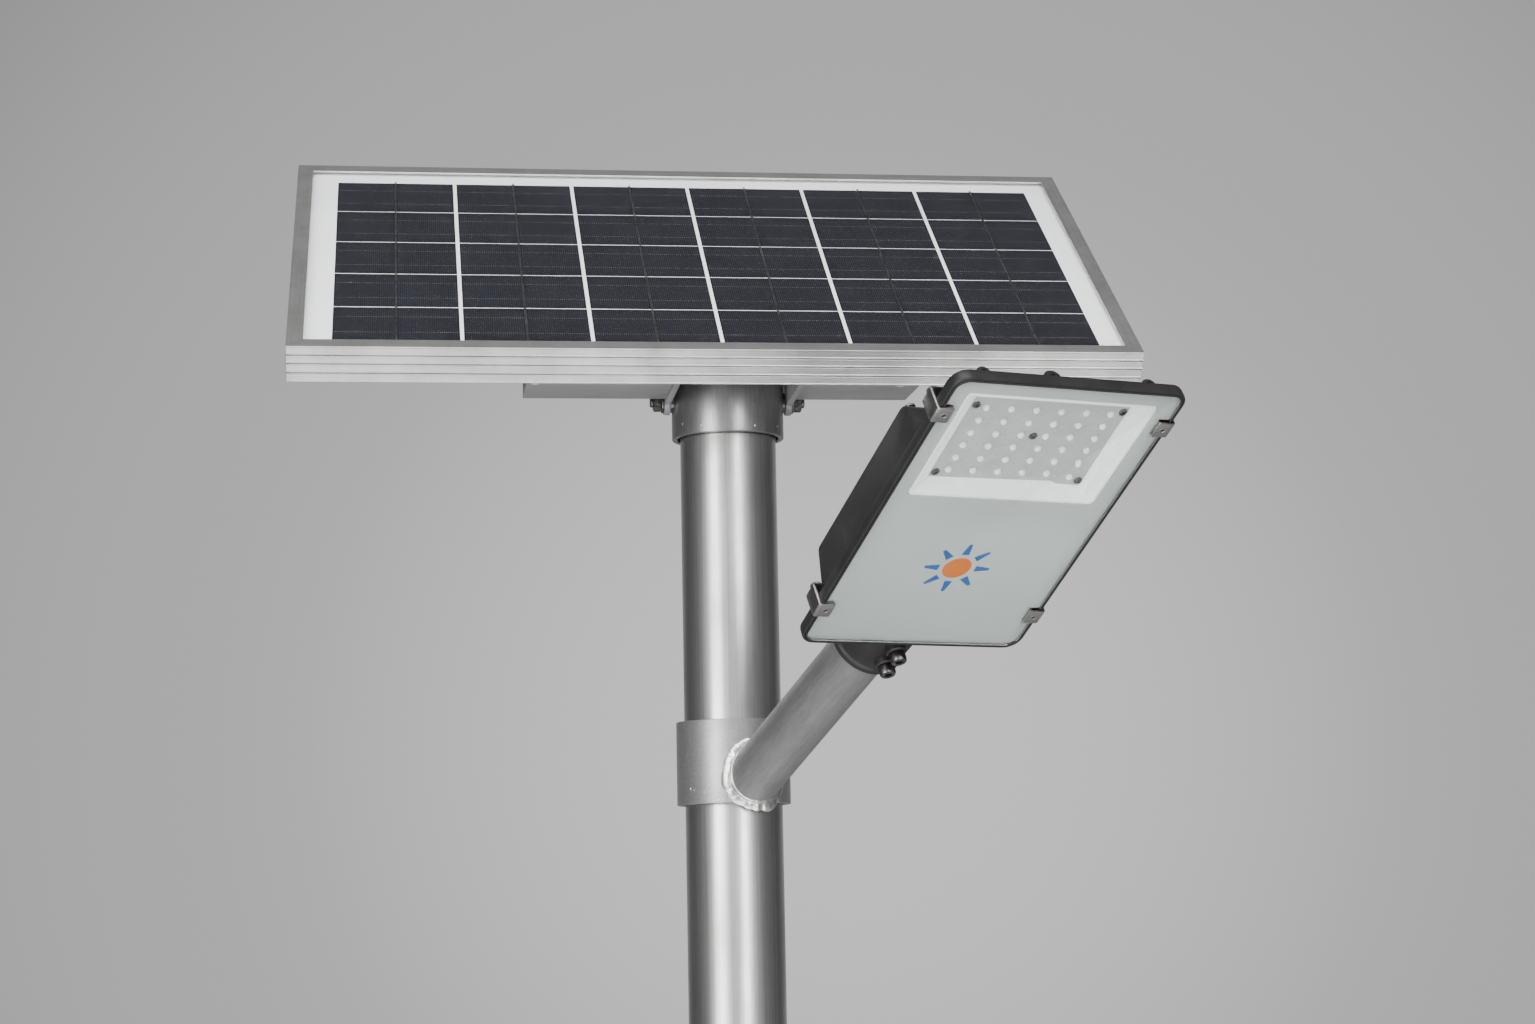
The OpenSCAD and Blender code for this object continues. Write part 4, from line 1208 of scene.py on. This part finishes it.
def add_strip(bm, middle, half_w, half_l, height):
    """A thin printed strip on a cell's face, sunk a little: bottom, top and four sides."""
    rings = []
    for z in (middle.z - 0.01 * MM, middle.z + height):
        outline = ((-1, -1), (1, -1), (1, 1), (-1, 1))
        rings.append([bm.verts.new((middle.x + x * half_w, middle.y + y * half_l, z)) for x, y in outline])
    low, top = rings
    bm.faces.new(top)
    bm.faces.new(list(reversed(low)))
    for i in range(4):
        j = (i + 1) % 4
        bm.faces.new((low[i], low[j], top[j], top[i]))


def build_cells():
    """The cells with printed fingers and the patches where the fingers cross the busbars."""
    fingers, patches = bmesh.new(), bmesh.new()
    pitch, side_margin, end_margin = 1.6 * MM, 1.4 * MM, 0.8 * MM
    for low, high in cell_boxes():
        count = int((high.x - low.x - side_margin) / pitch)
        start = (low.x + high.x - (count - 1) * pitch) / 2
        for k in range(count):
            middle = Vector((start + k * pitch, (low.y + high.y) / 2, low.z))
            add_strip(fingers, middle, 0.06 * MM, (high.y - low.y) / 2 - end_margin, 0.02 * MM)
            for share in (0.27, 0.72):
                middle.y = low.y + (high.y - low.y) * share
                add_strip(patches, middle, 0.42 * MM, 0.22 * MM, 0.03 * MM)
    refined("solar_cells", SILICON, PANEL, ease=0)
    piece("cell_fingers", fingers, "panel", FINGER, PANEL)
    piece("cell_busbars", patches, "panel", BUSBAR, PANEL)
    paint_node("cell_ribbons", TINNED)
    refined("back_sheet", FILM, PANEL, ease=0.1 * MM)
    paint_node("panel_glass", PANEL_GLASS)


def strap_bolts():
    low, high = span("strap_bolts", PANEL)
    under, top = span("strap_left", PANEL)
    bolts = []
    for x, y in product((low.x + 5.8 * MM, high.x - 5.8 * MM), (low.y + 5.02 * MM, high.y - 5.02 * MM)):
        bolts.append(moved(hex_bolt(10 * MM, 4 * MM, 3 * MM, 13 * MM), facing((0, 0, -1), (x, y, under.z))))
        nut = hex_nut(10 * MM, 4.4 * MM, 3.05 * MM)
        bolts.append(moved(nut, Matrix.Translation((x, y, top.z + 1.62 * MM))))
    stand_in("strap_bolts", joined(bolts), STAINLESS, PANEL)


def bracket_seams():
    """A bead along the inner corner between each ear and the plate that joins the ears."""
    plane = span("tilt_yoke", TILT)[1].z - 4 * MM
    down = (TILT.to_3x3() @ Vector((0, 0, -1))).normalized()
    seams = []
    for side in (-1, 1):
        edge = side * (yoke_high.x - 5 * MM)
        line = [TILT @ Vector((edge, y * MM, plane)) for y in range(-60, 75)]
        inward = Vector((-side, 0, 0))
        normals = [(inward + down).normalized()] * len(line)
        sides = [(inward - down).normalized()] * len(line)
        seams.append(skin(bead(line, normals, sides, 5 * MM, 1.6 * MM, 60 + side)))
    piece("bracket_welds", outward(joined(seams)), "panel", BRACKET, sharp=60)


def build_bracket():
    for node in ("tilt_yoke", "wing_left", "wing_right"):
        refined(node, BRACKET, HINGE, ease=0.6 * MM)
    for node in ("strap_left", "strap_right"):
        refined(node, BRACKET, PANEL, ease=0.6 * MM)
    strap_bolts()
    bracket_seams()


def junction_lid():
    """A ribbed lid with four screws."""
    low, high = span("junction_lid", PANEL)
    half_w, half_l = (high.x - low.x) / 2, (high.y - low.y) / 2
    middle = ((high.x + low.x) / 2, (high.y + low.y) / 2)
    parts = [skin([
        at_height(rectangle(half_w - inset * MM, half_l - inset * MM, 5 * MM, middle), z)
        for inset, z in (
            (0.3, high.z), (0, high.z - 0.4 * MM), (0, low.z + 0.7 * MM), (0.7, low.z), (8, low.z),
            (8.6, low.z + 0.6 * MM))])]
    for k in range(-3, 4):
        rib_at = (middle[0], middle[1] + k * 6 * MM)
        parts.append(slab(26 * MM, 1.2 * MM, MM, low.z + 0.1 * MM, low.z + 0.8 * MM, rib_at, 0.3 * MM))
    for x, y in product((-1, 1), (-1, 1)):
        spot = (middle[0] + x * (half_w - 4 * MM), middle[1] + y * (half_l - 4 * MM), low.z + 0.8 * MM)
        parts.append(moved(cap_screw(2.6 * MM, MM, MM, MM), facing((0, 0, -1), spot)))
    stand_in("junction_lid", outward(joined(parts)), PLASTIC, PANEL)


def build_junction():
    refined("junction_box", PLASTIC, PANEL, ease=0.7 * MM)
    junction_lid()
    low, high = span("junction_box", PANEL)
    inset = 22 * MM
    glands = []
    for x in (low.x + inset, high.x - inset):
        gland = turned([
            *mm((3.9, -1.5), (3.9, 0.2)), *hex_profile(11 * MM, 0.2 * MM, 4 * MM),
            *mm((4.6, 4.2), (4.4, 9), (3.4, 10), (2.4, 10), (2.4, 2))], 72)
        glands.append(moved(gland, facing((0, -1, 0), (x, low.y, (low.z + high.z) / 2))))
    piece("junction_glands", joined(glands), "panel", PLASTIC, PANEL)


# ---- studio ----

def softbox(name, position, target, width, height, power):
    """A rectangular light that the camera doesn't see."""
    data = bpy.data.lights.new(name, "AREA")
    data.shape = "RECTANGLE"
    data.size = width
    data.size_y = height
    data.energy = power
    lamp = bpy.data.objects.new(name, data)
    lamp.visible_camera = False
    bpy.context.scene.collection.objects.link(lamp)
    lamp.location = position
    lamp.rotation_euler = (Vector(target) - Vector(position)).to_track_quat("-Z", "Y").to_euler()


def build_world():
    """A grey studio: a lit backdrop behind the lamp, a bright front and dim sides."""
    world = bpy.data.worlds.new("studio")
    world.use_nodes = True
    tree = world.node_tree
    coords = tree.nodes.new("ShaderNodeTexCoord")
    dot = tree.nodes.new("ShaderNodeVectorMath")
    dot.operation = "DOT_PRODUCT"
    dot.inputs[1].default_value = (0.16, 0.98, 0.06)
    spread = tree.nodes.new("ShaderNodeMapRange")
    spread.inputs["From Min"].default_value = -1.0
    spread.inputs["From Max"].default_value = 1.0
    ramp = tree.nodes.new("ShaderNodeValToRGB")
    stops = [(0.0, 0.7), (0.36, 0.15), (0.62, 0.1), (0.8, 0.07), (0.95, 0.3), (0.985, 0.5), (1.0, 0.8)]
    ramp.color_ramp.interpolation = "EASE"
    for position, value in stops[1:-1]:
        ramp.color_ramp.elements.new(position)
    for element, (position, value) in zip(ramp.color_ramp.elements, stops):
        element.position = position
        element.color = (value, value, value * 1.01, 1)
    tree.links.new(coords.outputs["Generated"], dot.inputs[0])
    tree.links.new(dot.outputs["Value"], spread.inputs["Value"])
    tree.links.new(spread.outputs["Result"], ramp.inputs["Fac"])
    tree.links.new(ramp.outputs["Color"], tree.nodes["Background"].inputs["Color"])
    bpy.context.scene.world = world


def build_studio():
    build_world()
    radius, thickness = 14.0, 0.02
    ground = turned([(radius, -thickness), (radius, 0.0), (0.01, 0.0)], 128)
    shown("floor", ground, FLOOR)
    softbox("key_left", (-2.3, -2.5, 2.1), (0, 0, 1.8), 1.15, 2.6, 85)
    softbox("key_right", (0.9, -3.1, 2.1), (0, 0, 1.8), 0.6, 2.6, 54)
    softbox("low_front", (-0.3, -1.65, 0.45), (-0.3, -1.6, 2.0), 2.8, 1.3, 30)
    softbox("top_front", (-0.3, -1.9, 4.3), (0, 0, 2.0), 2.7, 1.7, 75)
    softbox("back", (0.6, 3.3, 3.9), (0, 0, 1.8), 2.6, 1.6, 20)


def build_camera():
    yaw, pitch, roll = math.radians(7.75), math.radians(8.06), math.radians(-1.10)
    forward = Vector((math.sin(yaw) * math.cos(pitch), math.cos(yaw) * math.cos(pitch), math.sin(pitch)))
    right = Vector((math.cos(yaw), -math.sin(yaw), 0))
    up = right.cross(forward)
    across = math.cos(roll) * right + math.sin(roll) * up
    above = -math.sin(roll) * right + math.cos(roll) * up
    data = bpy.data.cameras.new("camera")
    data.lens = 65.55
    data.sensor_width = 36.0
    camera = bpy.data.objects.new("camera", data)
    bpy.context.scene.collection.objects.link(camera)
    turn = Matrix((across, above, -forward)).transposed().to_4x4()
    camera.matrix_world = Matrix.Translation((-0.2659, -2.1796, 1.650)) @ turn
    bpy.context.scene.camera = camera


build_camera()
build_studio()
build_pole()
build_arm()
build_socket()
build_head()
build_frame()
build_cells()
build_bracket()
build_junction()
